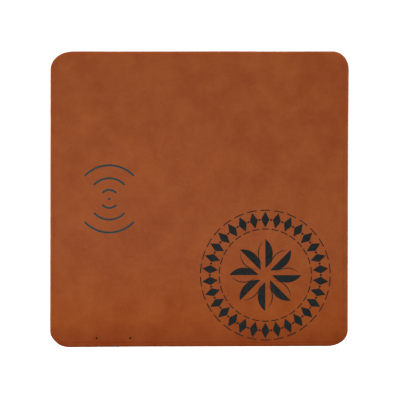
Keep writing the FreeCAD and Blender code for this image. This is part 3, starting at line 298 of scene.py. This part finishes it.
class Builder:
    """Collects vertices and faces of one mesh."""

    def __init__(self):
        self.verts, self.faces, self.materials, self.seen = [], [], [], {}

    def vert(self, x, y, z):
        """The index of the vertex at this place, new or seen before."""
        k = (round(x / MERGE), round(y / MERGE), round(z / MERGE))
        if k not in self.seen:
            self.seen[k] = len(self.verts)
            self.verts.append(Vector((x, y, z)))
        return self.seen[k]

    def face(self, ids, material):
        """Adds a face, leaving out repeated corners."""
        ids = [v for i, v in enumerate(ids) if v != ids[i - 1]]
        if len(ids) > 2:
            self.faces.append(ids)
            self.materials.append(material)

    def band(self, first, second, material):
        """Joins two rings of equal length with a strip of quads."""
        for i in range(len(first)):
            j = (i + 1) % len(first)
            self.face([first[i], first[j], second[j], second[i]], material)

    def mesh(self, name, shape=lambda v: v):
        """Makes the object, with each vertex moved to shape(vertex)."""
        mesh = bpy.data.meshes.new(name)
        mesh.from_pydata([shape(v) for v in self.verts], [], self.faces)
        mesh.polygons.foreach_set("material_index", self.materials)
        mesh.update()
        obj = bpy.data.objects.new(name, mesh)
        bpy.context.scene.collection.objects.link(obj)
        return obj


def roll_arc(radius, middle_z, start, end, material):
    """A quarter of the roll as (inset, height, material). The angles are degrees over the horizontal."""
    points = []
    for i in range(ROLL_STEPS + 1):
        a = math.radians(start + (end - start) * i / ROLL_STEPS)
        points.append((ROLL - radius * math.cos(a), middle_z + radius * math.sin(a), material))
    return points


def cover_profile():
    """(inset, height, material) from the top's rim over the roll, under the hem and back inside."""
    inner = ROLL - THICK
    hem_inside, ceiling = UNDER + THICK, TOP - THICK
    profile = [(inset, TOP, TAN) for inset in RIM_INSETS]
    profile += roll_arc(ROLL, TOP - ROLL, 90, 0, TAN)
    profile += roll_arc(ROLL, UNDER + ROLL, 0, -90, TAN)
    profile += [(inset, UNDER, TAN) for inset in HEM_INSETS]
    profile += [(HEM, UNDER + HEM_BEVEL, ENGRAVED), (HEM, hem_inside - HEM_BEVEL, CLOTH)]
    profile += [(inset, hem_inside, CLOTH) for inset in reversed(HEM_INSETS)]
    profile += roll_arc(inner, hem_inside + inner, -90, 0, CLOTH)
    profile += roll_arc(inner, ceiling - inner, 0, 90, CLOTH)
    profile += [(inset, ceiling, CLOTH) for inset in CEILING_INSETS]
    return profile


def engraving_outlines():
    """The outlines cut in the face film, as (pinholes, engraved shapes)."""
    loops = planar_loops("leather_face", TOP)
    loops.sort(key=lambda loop: -abs(area(loop)))
    pinholes, carved = [], []
    for loop in loops[1:]:
        middle = sum(loop, Vector((0, 0))) / len(loop)
        in_row = abs(middle.y - PIPE_ROW) < PINHOLE_STRAY and middle.x < 0
        small = abs(area(loop)) < PINHOLE_AREA
        (pinholes if in_row and small else carved).append(loop)
    return pinholes, carved


def add_wrap(b):
    """The rolled edge and the hem, as bands between rings. Returns the first and last ring."""
    profile = cover_profile()
    rings = [ring(inset) for inset, _, _ in profile]
    ids = [[b.vert(p.x, p.y, z) for p in points] for points, (_, z, _) in zip(rings, profile)]
    for lower, upper, (_, _, material) in zip(ids, ids[1:], profile[1:]):
        b.band(upper, lower, material)
    return rings[0], rings[-1]


def add_top(b, rim, pinholes, carved):
    """The engraved top: tan face, dark engraving floors, and walls round each opening."""
    inners = [refine(loop, OUTLINE_SPACING) for loop in pinholes + carved]
    verts, tris, labels = triangulate(rim, inners, TOP_SPACING)
    floor_z = TOP - FILM
    side_edges = {}
    for tri, label in zip(tris, labels):
        if label < 0:
            b.face([b.vert(verts[i].x, verts[i].y, TOP) for i in tri], TAN)
        elif label >= len(pinholes):
            b.face([b.vert(verts[i].x, verts[i].y, floor_z) for i in tri], ENGRAVED)
        if label >= 0:
            for p, q in zip(tri, tri[1:] + tri[:1]):
                if (q, p) in side_edges:
                    del side_edges[(q, p)]
                else:
                    side_edges[(p, q)] = label
    for (p, q), label in side_edges.items():
        bottom = TOP - THICK if label < len(pinholes) else floor_z
        low = [b.vert(verts[i].x, verts[i].y, bottom) for i in (p, q)]
        high = [b.vert(verts[i].x, verts[i].y, TOP) for i in (p, q)]
        b.face([low[0], low[1], high[1], high[0]], ENGRAVED)


def add_inside(b, rim, pinholes):
    """The cloth side of the top."""
    inners = [refine(loop, OUTLINE_SPACING) for loop in pinholes]
    verts, tris, labels = triangulate(rim, inners, INSIDE_SPACING)
    for tri, label in zip(tris, labels):
        if label < 0:
            b.face([b.vert(verts[i].x, verts[i].y, TOP - THICK) for i in reversed(tri)], CLOTH)


def cover_shape(v):
    """The place of a cover point once the top is padded and the edge is wrapped by hand."""
    x, y, z = v
    z += smooth((z - (TOP - ROLL)) / PADDED_BLEND) * top_height(x, y)
    gather = pleats(x, y, v.z)
    if gather:
        outward = Vector((x, y)).normalized() * gather
        x, y = x + outward.x, y + outward.y
    return warp((x, y, z))


def build_cover():
    """The leather cover in one piece, with the engraving and the pinholes in its top."""
    b = Builder()
    outer_rim, inner_rim = add_wrap(b)
    pinholes, carved = engraving_outlines()
    add_top(b, outer_rim, pinholes, carved)
    add_inside(b, inner_rim, pinholes)
    return b.mesh("leather_cover", cover_shape)


def cut_port(cover):
    """Cuts the bezel's opening through the front roll."""
    b = Builder()
    half_w = (bezel_high.x - bezel_low.x) / 2 + PORT_GAP
    r = (bezel_high.z - bezel_low.z) / 2 + PORT_GAP
    outline = []
    for side in (1, -1):
        for i in range(PORT_STEPS + 1):
            a = -math.pi / 2 + math.pi * i / PORT_STEPS
            outline.append(Vector((side * (half_w - r + r * math.cos(a)), side * r * math.sin(a))))
    reach = (HALF_D + PORT_REACH, HALF_D - PORT_REACH)
    near, far = [[b.vert(PORT.x + p.x, -y, PORT.z + p.y) for p in outline] for y in reach]
    b.band(near, far, ENGRAVED)
    b.face(near[::-1], ENGRAVED)
    b.face(far, ENGRAVED)
    cutter = b.mesh("port_cutter")
    for slot in cover.data.materials:
        cutter.data.materials.append(slot)
    for solid in (cover, cutter):
        face_outward(solid)
    cut = cover.modifiers.new("port", "BOOLEAN")
    cut.operation, cut.object, cut.solver = "DIFFERENCE", cutter, "EXACT"
    bake(cover)
    bpy.data.objects.remove(cutter)


def face_outward(obj):
    """Turns every face of a closed mesh outward."""
    mesh = bmesh.new()
    mesh.from_mesh(obj.data)
    bmesh.ops.recalc_face_normals(mesh, faces=mesh.faces)
    mesh.to_mesh(obj.data)
    mesh.free()


def bake(obj):
    """Replaces the object's mesh with what its modifiers make of it."""
    graph = bpy.context.evaluated_depsgraph_get()
    made = bpy.data.meshes.new_from_object(obj.evaluated_get(graph))
    obj.modifiers.clear()
    obj.data = made


def finish_mesh(obj, degrees):
    """Smooth shading with creases where faces meet at more than the angle."""
    obj.data.shade_smooth()
    obj.data.set_sharp_from_angle(angle=math.radians(degrees))


# ---------------------------------------------------------------- foam pieces

# The unevenness of the faces, its scale, and its seeds on the upper and lower side.
FOAM_SKIN, FOAM_GRAIN, FOAM_SEEDS = 0.02 * MM, 90, (1.0, 7.0)
# The steps of the bulging edge, and the angle over which an edge is sharp.
FOAM_STEPS, FOAM_SHARP_EDGE = 4, 60


def soft_slab(name, node, spacing, swell):
    """A sheet of foam in place of a CAD sheet: uneven faces and edges that bulge at mid height."""
    low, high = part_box(node)
    outline = max(planar_loops(node, high.z), key=lambda loop: abs(area(loop)))
    if area(outline) < 0:
        outline.reverse()
    outline = refine(outline, spacing)
    verts, tris, _ = triangulate(outline, [], spacing)
    b = Builder()
    for tri in tris:
        b.face([b.vert(verts[i].x, verts[i].y, high.z - FOAM_SKIN) for i in tri], 0)
        b.face([b.vert(verts[i].x, verts[i].y, low.z + FOAM_SKIN) for i in reversed(tri)], 0)
    levels = []
    for step in range(FOAM_STEPS + 1):
        t = step / FOAM_STEPS
        z = low.z + FOAM_SKIN + (high.z - low.z - 2 * FOAM_SKIN) * t
        row = []
        for i, p in enumerate(outline):
            along = outline[(i + 1) % len(outline)] - outline[i - 1]
            out = Vector((along.y, -along.x)).normalized() * swell * math.sin(math.pi * t)
            row.append(b.vert(p.x + out.x, p.y + out.y, z))
        levels.append(row)
    for lower, upper in zip(levels, levels[1:]):
        b.band(lower, upper, 0)

    def shape(v):
        seed = FOAM_SEEDS[v.z <= (low.z + high.z) / 2]
        rough = noise.noise(Vector((v.x * FOAM_GRAIN, v.y * FOAM_GRAIN, seed))) * FOAM_SKIN
        return Vector((v.x, v.y, v.z + rough))

    obj = b.mesh(name, shape)
    finish_mesh(obj, FOAM_SHARP_EDGE)
    return obj


# ---------------------------------------------------------------- materials

# Most of a noise texture's values are in this range.
NOISE_RANGE = (0.3, 0.7)
LEATHER_DARK = (0.1276, 0.0197, 0.0003, 1.0)
LEATHER_LIGHT = (0.1796, 0.0421, 0.0060, 1.0)
# Painted shade: the front end is darker and redder, in full at the first of these places along y, no more at
# the second.
FRONT_SHADE = (0.76, 0.61, 0.90, 1.0)
SHADE_FULL, SHADE_GONE = -140 * MM, -98 * MM
# Elsewhere the rolled edge is painted lighter as a highlight, as its normal's Z falls from the first of these
# to the second.
EDGE_HIGHLIGHT = (1.21, 1.16, 1.2, 1.0)
HIGHLIGHT_SLOPES = (0.99, 0.88)
# The leather's sheen grows from the front towards the middle: it is held low at the front end as painted
# shade.
SHEEN_START, SHEEN_END, SHEEN_LOW, SHEEN_HIGH = -150 * MM, -30 * MM, 0.03, 0.1
# The engraving is burnt dark, and slate blue within this distance of the coil's middle.
BURNT_DARK, BURNT_LIGHT = (0.0022, 0.0030, 0.0030, 1), (0.0062, 0.0082, 0.0080, 1)
SLATE_DARK, SLATE_LIGHT = (0.0060, 0.0190, 0.0220, 1), (0.0110, 0.0300, 0.0350, 1)
SYMBOL_REACH, SYMBOL_FADE = 34 * MM, 1 * MM
# Twist of the litz wire in radians per metre, along the turns and across them.
STRANDS_ALONG, STRANDS_ACROSS = 9000.0, 16000.0


def srgb(*levels):
    """Linear colour of 0-255 screen levels."""
    out = []
    for v in levels:
        c = v / 255
        out.append(c / 12.92 if c <= 0.04045 else ((c + 0.055) / 1.055) ** 2.4)
    return (*out, 1.0)


def grey(level):
    """Linear colour of one grey screen level."""
    return srgb(level, level, level)


class Shader:
    """Small helper for building one material's nodes."""

    sockets = {
        "color": "Base Color", "metallic": "Metallic", "roughness": "Roughness", "normal": "Normal",
        "specular": "Specular IOR Level", "sheen": "Sheen Weight", "coat": "Coat Weight",
        "coat_roughness": "Coat Roughness",
    }

    def __init__(self, name):
        self.material = bpy.data.materials.new(name)
        self.material.use_nodes = True
        self.tree = self.material.node_tree
        self.tree.nodes.clear()
        self.output = self.add("ShaderNodeOutputMaterial")
        self.bsdf = self.add("ShaderNodeBsdfPrincipled")
        self.link(self.bsdf.outputs[0], self.output.inputs[0])
        self.coords = self.add("ShaderNodeTexCoord").outputs["Object"]

    def add(self, kind, **values):
        node = self.tree.nodes.new(kind)
        for key, value in values.items():
            setattr(node, key, value)
        return node

    def link(self, a, b):
        self.tree.links.new(a, b)

    def put(self, socket, value):
        """Links the socket to an output, or sets it to a plain value."""
        if hasattr(value, "links"):
            self.link(value, socket)
        else:
            socket.default_value = value

    def split(self, vector):
        """The X, Y and Z outputs of a vector."""
        node = self.add("ShaderNodeSeparateXYZ")
        self.link(vector, node.inputs[0])
        return node.outputs

    def mapped(self, setting, value):
        """The object's coordinates with a Location or Scale applied."""
        node = self.add("ShaderNodeMapping")
        self.link(self.coords, node.inputs["Vector"])
        node.inputs[setting].default_value = value
        return node.outputs[0]

    def noise(self, scale, detail=4.0, rough=0.55, distortion=0.0, vector=None):
        node = self.add("ShaderNodeTexNoise")
        self.link(vector or self.coords, node.inputs["Vector"])
        node.inputs["Scale"].default_value = scale
        node.inputs["Detail"].default_value = detail
        node.inputs["Roughness"].default_value = rough
        node.inputs["Distortion"].default_value = distortion
        return node.outputs["Fac"]

    def cells(self, scale, feature="F1", randomness=1.0):
        node = self.add("ShaderNodeTexVoronoi", feature=feature)
        self.link(self.coords, node.inputs["Vector"])
        node.inputs["Scale"].default_value = scale
        node.inputs["Randomness"].default_value = randomness
        return node.outputs["Distance"]

    def wave(self, scale, distortion, direction="X"):
        node = self.add("ShaderNodeTexWave", bands_direction=direction)
        self.link(self.coords, node.inputs["Vector"])
        node.inputs["Scale"].default_value = scale
        node.inputs["Distortion"].default_value = distortion
        return node.outputs["Fac"]

    def spread(self, value, low, high, new_low=0.0, new_high=1.0):
        """Maps low..high to new_low..new_high and holds the ends."""
        node = self.add("ShaderNodeMapRange")
        self.link(value, node.inputs["Value"])
        for key, number in (("From Min", low), ("From Max", high), ("To Min", new_low), ("To Max", new_high)):
            node.inputs[key].default_value = number
        return node.outputs["Result"]

    def ease(self, value, low, high):
        """Rises smoothly from 0 at low to 1 at high."""
        node = self.add("ShaderNodeMapRange", interpolation_type="SMOOTHSTEP")
        self.link(value, node.inputs["Value"])
        node.inputs["From Min"].default_value = low
        node.inputs["From Max"].default_value = high
        return node.outputs["Result"]

    def maths(self, operation, a, b=0.0):
        node = self.add("ShaderNodeMath", operation=operation)
        self.put(node.inputs[0], a)
        self.put(node.inputs[1], b)
        return node.outputs[0]

    def blend(self, *shares):
        """The sum of some outputs, each times its share."""
        total, *others = [self.maths("MULTIPLY", value, share) for value, share in shares]
        for part in others:
            total = self.maths("ADD", total, part)
        return total

    def mix(self, fac, a, b, blend="MIX"):
        node = self.add("ShaderNodeMix", data_type="RGBA", blend_type=blend)
        self.put(node.inputs["Factor"], fac)
        self.put(node.inputs["A"], a)
        self.put(node.inputs["B"], b)
        return node.outputs["Result"]

    def bump(self, height, distance, strength=1.0):
        node = self.add("ShaderNodeBump")
        self.link(height, node.inputs["Height"])
        node.inputs["Distance"].default_value = distance
        node.inputs["Strength"].default_value = strength
        return node.outputs["Normal"]

    def set(self, **values):
        """Sets the surface's sockets and returns the finished material."""
        for key, value in values.items():
            self.put(self.bsdf.inputs[self.sockets[key]], value)
        return self.material


def simple(name, dark, light, scale, roughness, grain, depth, **extra):
    """Mottled two-tone colour, uneven roughness and a fine surface grain."""
    s = Shader(name)
    mottle = s.spread(s.noise(scale), *NOISE_RANGE)
    color = s.mix(mottle, dark, light)
    rough = s.spread(s.noise(scale * 3), 0.25, 0.75, roughness * 0.85, min(1.0, roughness * 1.15))
    normal = s.bump(s.noise(grain, detail=3), depth)
    return s.set(color=color, roughness=rough, normal=normal, **extra)


def leather_tan():
    """Pebbled tan leather: clouded colour, painted shade on the front end, a painted highlight on the other
    edges, and a faint sheen that is weaker at the front as painted shade.
    """
    s = Shader("leather_tan")
    cloud = s.noise(26, detail=5, rough=0.6, distortion=0.6)
    patch = s.noise(85, detail=4, rough=0.6, distortion=0.3)
    speck = s.noise(620, detail=3, rough=0.6)
    tone = s.blend((cloud, 0.42), (patch, 0.36), (speck, 0.22))
    color = s.mix(s.spread(tone, *NOISE_RANGE), LEATHER_DARK, LEATHER_LIGHT)
    along = s.split(s.coords)["Y"]
    # Painted shade: the front end is darkened and reddened.
    plain = s.ease(along, SHADE_FULL, SHADE_GONE)
    color = s.mix(plain, s.mix(1.0, color, FRONT_SHADE, "MULTIPLY"), color)
    # Painted highlight on the rolled edges, left out at the shaded front end.
    upward = s.split(s.add("ShaderNodeNewGeometry").outputs["Normal"])["Z"]
    lit_edge = s.maths("MULTIPLY", s.spread(upward, *HIGHLIGHT_SLOPES), plain)
    color = s.mix(lit_edge, color, s.mix(1.0, color, EDGE_HIGHLIGHT, "MULTIPLY"))
    pebbles = s.cells(850, feature="SMOOTH_F1")
    wrinkles = s.noise(330, detail=6, rough=0.68, distortion=1.4)
    grain = s.blend((pebbles, 0.9), (wrinkles, 0.7))
    normal = s.bump(grain, 0.2 * MM)
    rough = s.spread(wrinkles, *NOISE_RANGE, 0.5, 0.66)
    facing = s.add("ShaderNodeLayerWeight").outputs["Facing"]
    # Painted shade: the sheen is weaker towards the front end.
    sheen = s.spread(s.ease(along, SHEEN_START, SHEEN_END), 0, 1, SHEEN_LOW, SHEEN_HIGH)
    gloss = s.maths("MULTIPLY", sheen, s.spread(facing, 0.1, 0.9, 1, 0))
    return s.set(color=color, roughness=rough, normal=normal, specular=gloss)


def engraved_dark():
    """The dark backing where the engraving has burnt the leather away."""
    s = Shader("engraved_dark")
    char = s.spread(s.noise(900, detail=4), *NOISE_RANGE)
    burnt = s.mix(char, BURNT_DARK, BURNT_LIGHT)
    slate = s.mix(char, SLATE_DARK, SLATE_LIGHT)
    distance = s.add("ShaderNodeVectorMath", operation="DISTANCE")
    s.link(s.coords, distance.inputs[0])
    distance.inputs[1].default_value = (carrier_low + carrier_high) / 2
    on_coil = s.spread(distance.outputs["Value"], SYMBOL_REACH, SYMBOL_REACH + SYMBOL_FADE, 1, 0)
    color = s.mix(on_coil, burnt, slate)
    normal = s.bump(s.noise(1500, detail=3), 0.04 * MM)
    rough = s.spread(s.noise(400), *NOISE_RANGE, 0.55, 0.8)
    return s.set(color=color, roughness=rough, normal=normal, specular=0.08)


def cloth_black():
    """The woven inside of the leather cover."""
    s = Shader("cloth_black")
    weft = s.wave(900, distortion=0.6, direction="X")
    warp_threads = s.wave(900, distortion=0.6, direction="Y")
    weave = s.maths("MULTIPLY", weft, warp_threads)
    color = s.mix(weave, srgb(18, 18, 19), srgb(40, 40, 42))
    return s.set(color=color, roughness=s.spread(weave, 0, 1, 0.75, 0.95), normal=s.bump(weave, 0.1 * MM),
                 specular=0.2, sheen=0.1)


def brushed(name, dark, light, roughness):
    """Metal with fine streaks along X."""
    s = Shader(name)
    streak = s.noise(300, detail=5, vector=s.mapped("Scale", (1, 14, 14)))
    color = s.mix(s.spread(streak, 0.35, 0.65), dark, light)
    rough = s.spread(streak, *NOISE_RANGE, roughness * 0.8, roughness * 1.25)
    return s.set(color=color, metallic=1.0, roughness=rough, normal=s.bump(streak, 0.01 * MM, 0.5))


def litz_copper():
    """Copper strands twisted round the coil's turns."""
    s = Shader("copper_litz")
    spot = s.split(s.mapped("Location", -(coil_low + coil_high) / 2))
    angle = s.maths("ARCTAN2", spot["Y"], spot["X"])
    squares = [s.maths("POWER", spot[axis], 2.0) for axis in "XY"]
    radius = s.maths("POWER", s.maths("ADD", *squares), 0.5)
    along = s.maths("MULTIPLY", angle, s.maths("MULTIPLY", radius, STRANDS_ALONG))
    strand = s.maths("SINE", s.maths("ADD", along, s.maths("MULTIPLY", radius, STRANDS_ACROSS)))
    tone = s.spread(strand, -1.0, 1.0)
    color = s.mix(tone, srgb(120, 58, 26), srgb(214, 128, 72))
    return s.set(color=color, metallic=0.85, roughness=s.spread(strand, -1, 1, 0.45, 0.28),
                 normal=s.bump(strand, 0.04 * MM), coat=0.3, coat_roughness=0.2)


def circuit_laminate():
    """Green board with lighter lines of copper under the varnish."""
    s = Shader("green_laminate")
    traces = s.spread(s.cells(420, feature="DISTANCE_TO_EDGE", randomness=0.35), 0.02, 0.05)
    weave = s.wave(1400, distortion=0.3)
    base = s.mix(s.spread(s.noise(60), *NOISE_RANGE), srgb(10, 66, 38), srgb(16, 84, 48))
    color = s.mix(traces, srgb(40, 118, 70), base)
    return s.set(color=color, roughness=s.spread(weave, 0, 1, 0.3, 0.42), normal=s.bump(traces, 0.03 * MM),
                 specular=0.45)


def pipe_resin_painted_shade():
    """Clear resin painted dark and dull with the shade of an empty pinhole, so that the light pipes look like
    empty pinholes when they are off.
    """
    s = Shader("pipe_resin_painted_shade")
    swirl = s.noise(500, detail=3, distortion=1.0)
    # Painted shade: the near-black brown of a shaded pinhole.
    color = s.mix(s.spread(swirl, *NOISE_RANGE), srgb(18, 5, 3), srgb(34, 10, 7))
    return s.set(color=color, roughness=s.spread(swirl, *NOISE_RANGE, 0.6, 0.8), specular=0.02,
                 normal=s.bump(s.noise(900), 0.01 * MM))


def amber_film():
    """Glossy amber insulating film."""
    s = Shader("amber_film")
    flow = s.noise(120, detail=3, distortion=0.5)
    color = s.mix(s.spread(flow, *NOISE_RANGE), srgb(150, 78, 12), srgb(206, 126, 34))
    return s.set(color=color, roughness=s.spread(flow, *NOISE_RANGE, 0.16, 0.28), specular=0.5,
                 normal=s.bump(s.noise(60, detail=2), 0.06 * MM))


def foam_grey():
    """Grey foam with small closed bubbles."""
    s = Shader("foam_grey")
    bubbles = s.cells(1700, feature="SMOOTH_F1")
    color = s.mix(s.spread(bubbles, 0.1, 0.6), grey(52), grey(88))
    return s.set(color=color, roughness=0.92, normal=s.bump(bubbles, 0.12 * MM), specular=0.15)


def grip_rubber():
    """Non-slip sheet with rows of small dimples."""
    s = Shader("grip_rubber")
    dimples = s.spread(s.cells(480, randomness=0.0), 0.25, 0.42)
    dust = s.spread(s.noise(30, detail=5), 0.35, 0.7)
    color = s.mix(s.maths("MULTIPLY", dust, 0.7), srgb(26, 25, 25), srgb(48, 46, 45))
    color = s.mix(s.maths("MULTIPLY", dimples, 0.35), srgb(17, 17, 17), color)
    height = s.maths("ADD", dimples, s.maths("MULTIPLY", s.noise(1500, detail=2), 0.3))
    return s.set(color=color, roughness=s.spread(dust, 0, 1, 0.72, 0.9), normal=s.bump(height, 0.12 * MM),
                 specular=0.3)


def wood_fibre():
    """Pressed fibreboard with flecks and short fibres."""
    s = Shader("fibreboard")
    fibres = s.noise(240, detail=6, rough=0.7, vector=s.mapped("Scale", (1, 3, 8)))
    fleck = s.cells(700)
    tone = s.blend((fibres, 0.7), (fleck, 0.3))
    color = s.mix(s.spread(tone, 0.3, 0.65), srgb(96, 72, 46), srgb(160, 130, 92))
    rough = s.spread(fibres, *NOISE_RANGE, 0.7, 0.88)
    return s.set(color=color, roughness=rough, normal=s.bump(tone, 0.06 * MM), specular=0.2)


# Dark colour, light colour, mottle scale, roughness, grain scale, grain depth, other settings.
PLAIN_LOOKS = {
    "black_plastic": (grey(16), grey(25), 60, 0.55, 1800, 0.03 * MM, {"specular": 0.4}),
    "graphite": (grey(44), grey(66), 90, 0.42, 700, 0.03 * MM, {"metallic": 0.4}),
    "ferrite": (srgb(38, 36, 35), srgb(58, 54, 52), 130, 0.5, 1500, 0.04 * MM, {"metallic": 0.25}),
    "adhesive": (srgb(196, 188, 162), srgb(222, 214, 190), 70, 0.4, 800, 0.03 * MM, {}),
    "lead_sleeve": (grey(20), grey(34), 90, 0.45, 900, 0.02 * MM, {"specular": 0.5}),
    "epoxy": (srgb(34, 22, 16), srgb(60, 38, 28), 300, 0.25, 1200, 0.03 * MM, {"coat": 0.4}),
    # Painted shade: the bezel's dark plastic takes the brown of the leather's shaded front edge.
    "bezel_plastic": (srgb(52, 27, 16), srgb(70, 37, 22), 200, 0.5, 2600, 0.02 * MM, {"specular": 0.3}),
    "chip_resin": (grey(24), grey(38), 400, 0.6, 2600, 0.02 * MM, {}),
    "ceramic": (srgb(126, 96, 62), srgb(160, 126, 86), 300, 0.35, 2400, 0.02 * MM, {}),
    "resistor_glaze": (grey(14), grey(28), 500, 0.3, 2400, 0.01 * MM, {}),
    "lamp_resin": (srgb(206, 204, 178), srgb(236, 232, 206), 300, 0.3, 1800, 0.02 * MM, {}),
    "solder": (grey(150), grey(205), 500, 0.22, 900, 0.05 * MM, {"metallic": 1.0}),
}

# Dark colour, light colour, roughness.
BRUSHED_LOOKS = {
    "screw_steel": (grey(120), grey(178), 0.32),
    "can_steel": (grey(138), grey(196), 0.28),
    "gold_plate": (srgb(176, 130, 52), srgb(232, 190, 96), 0.22),
}


def make_materials():
    """One material for each material slot of the CAD part."""
    looks = {
        "tan_film": leather_tan(),
        "dark_backing": engraved_dark(),
        "foam": foam_grey(),
        "fibreboard": wood_fibre(),
        "grip_rubber": grip_rubber(),
        "copper_litz": litz_copper(),
        "amber_film": amber_film(),
        "green_laminate": circuit_laminate(),
        "clear_resin": pipe_resin_painted_shade(),
    }
    for name, (*numbers, others) in PLAIN_LOOKS.items():
        looks[name] = simple(name, *numbers, **others)
    for name, numbers in BRUSHED_LOOKS.items():
        looks[name] = brushed(name, *numbers)
    return looks


# ---------------------------------------------------------------- assemble

materials = make_materials()
slots = {row["node"]: row["material_slot"] for row in frame["record"]["subparts"]}
for node, obj in frame["nodes"].items():
    obj.data.materials.clear()
    obj.data.materials.append(materials[slots[node]])

cover = build_cover()
for look in (materials["tan_film"], materials["dark_backing"], cloth_black()):
    cover.data.materials.append(look)
cut_port(cover)
finish_mesh(cover, SHARP_EDGE)
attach(cover, "root")
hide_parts("leather_face", "leather_backing")

for name, node, spacing, swell in (
    ("padding_foam", "padding_sheet", 5 * MM, 0.05 * MM),
    ("channel_foam", "channel_filler", 2 * MM, 0.04 * MM),
):
    foam_piece = soft_slab(name, node, spacing, swell)
    foam_piece.data.materials.append(materials["foam"])
    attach(foam_piece, "root")
    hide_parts(node)

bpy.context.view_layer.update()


# ---------------------------------------------------------------- studio

FLOOR_SIZE, FLOOR_DROP, FLOOR_GLOW = 3.0, 0.05 * MM, 0.4
# Bounced light that meets the floor after less than this distance passes through it.
FLOOR_CLEAR = 2.5 * MM
PAPER_DARK, PAPER_LIGHT = (0.90, 0.90, 0.90, 1), (0.92, 0.92, 0.92, 1)
# Strength of the surroundings overhead, at the horizon, and as a share of these on the front side.
ZENITH, HORIZON, FRONT = 1.1, 2.3, 0.25
# The strength changes between these heights, and between these places along y, of a direction.
HEIGHT_BLEND, FRONT_BLEND = (0.0, 0.65), (-0.85, -0.1)
# The camera looks straight down and sees this width of the mat's top.
CAMERA_PLACE, FIELD, SENSOR = (0.0006, -0.00096, 3.0), 0.3496, 36


def build_floor():
    """A white, faintly glowing sweep. It is clear from below and lets light up to what rests on it."""
    signs = ((-1, -1), (1, -1), (1, 1), (-1, 1))
    square = [(sx * FLOOR_SIZE, sy * FLOOR_SIZE, -FLOOR_DROP) for sx, sy in signs]
    mesh = bpy.data.meshes.new("floor")
    mesh.from_pydata(square, [], [(0, 1, 2, 3)])
    floor = bpy.data.objects.new("floor", mesh)
    bpy.context.scene.collection.objects.link(floor)
    s = Shader("paper")
    tone = s.spread(s.noise(3), *NOISE_RANGE)
    color = s.mix(tone, PAPER_DARK, PAPER_LIGHT)
    s.bsdf.inputs["Emission Color"].default_value = (1, 1, 1, 1)
    s.bsdf.inputs["Emission Strength"].default_value = FLOOR_GLOW
    ray = s.add("ShaderNodeLightPath")
    near = s.maths("LESS_THAN", ray.outputs["Ray Length"], FLOOR_CLEAR)
    bounced = s.maths("SUBTRACT", 1.0, ray.outputs["Is Camera Ray"])
    under = s.add("ShaderNodeNewGeometry").outputs["Backfacing"]
    clear = s.maths("MAXIMUM", under, s.maths("MULTIPLY", near, bounced))
    through = s.add("ShaderNodeBsdfTransparent")
    blend = s.add("ShaderNodeMixShader")
    s.link(clear, blend.inputs[0])
    s.link(s.bsdf.outputs[0], blend.inputs[1])
    s.link(through.outputs[0], blend.inputs[2])
    s.link(blend.outputs[0], s.output.inputs[0])
    mesh.materials.append(s.set(color=color, roughness=0.9, specular=0.0))


def area_light(name, place, target, size, power):
    """A round lamp at a place, aimed at the target."""
    light = bpy.data.lights.new(name, "AREA")
    light.shape, light.size, light.energy = "DISK", size, power
    obj = bpy.data.objects.new(name, light)
    bpy.context.scene.collection.objects.link(obj)
    obj.location = place
    obj.rotation_euler = (Vector(target) - Vector(place)).to_track_quat("-Z", "Y").to_euler()


def build_world():
    """A white studio, brighter towards the horizon and dim on the front side."""
    world = bpy.data.worlds.new("studio")
    world.use_nodes = True
    tree = world.node_tree
    background = tree.nodes["Background"]
    background.inputs["Color"].default_value = (1, 1, 1, 1)
    coords = tree.nodes.new("ShaderNodeTexCoord")
    parts = tree.nodes.new("ShaderNodeSeparateXYZ")
    tree.links.new(coords.outputs["Generated"], parts.inputs[0])
    height = tree.nodes.new("ShaderNodeMath")
    height.operation = "ABSOLUTE"
    tree.links.new(parts.outputs["Z"], height.inputs[0])
    product = tree.nodes.new("ShaderNodeMath")
    product.operation = "MULTIPLY"
    frontness = (parts.outputs["Y"], *FRONT_BLEND, FRONT, 1.0)
    steepness = (height.outputs[0], *HEIGHT_BLEND, HORIZON, ZENITH)
    for i, (driver, *numbers) in enumerate((frontness, steepness)):
        ramp = tree.nodes.new("ShaderNodeMapRange")
        ramp.interpolation_type = "SMOOTHSTEP"
        for key, number in zip(("From Min", "From Max", "To Min", "To Max"), numbers):
            ramp.inputs[key].default_value = number
        tree.links.new(driver, ramp.inputs["Value"])
        tree.links.new(ramp.outputs["Result"], product.inputs[i])
    tree.links.new(product.outputs[0], background.inputs["Strength"])
    bpy.context.scene.world = world


def build_camera():
    """Looks straight down on the mat."""
    data = bpy.data.cameras.new("camera")
    camera = bpy.data.objects.new("camera", data)
    bpy.context.scene.collection.objects.link(camera)
    data.sensor_width = SENSOR
    data.lens = SENSOR * (CAMERA_PLACE[2] - TOP) / FIELD
    camera.location = CAMERA_PLACE
    bpy.context.scene.camera = camera


build_floor()
build_world()
area_light("key", place=(-0.12, -0.12, 0.7), target=(-0.02, 0, 0), size=0.35, power=4.45)
build_camera()

bpy.context.scene.view_settings.view_transform = "Standard"
bpy.context.scene.view_settings.look = "None"
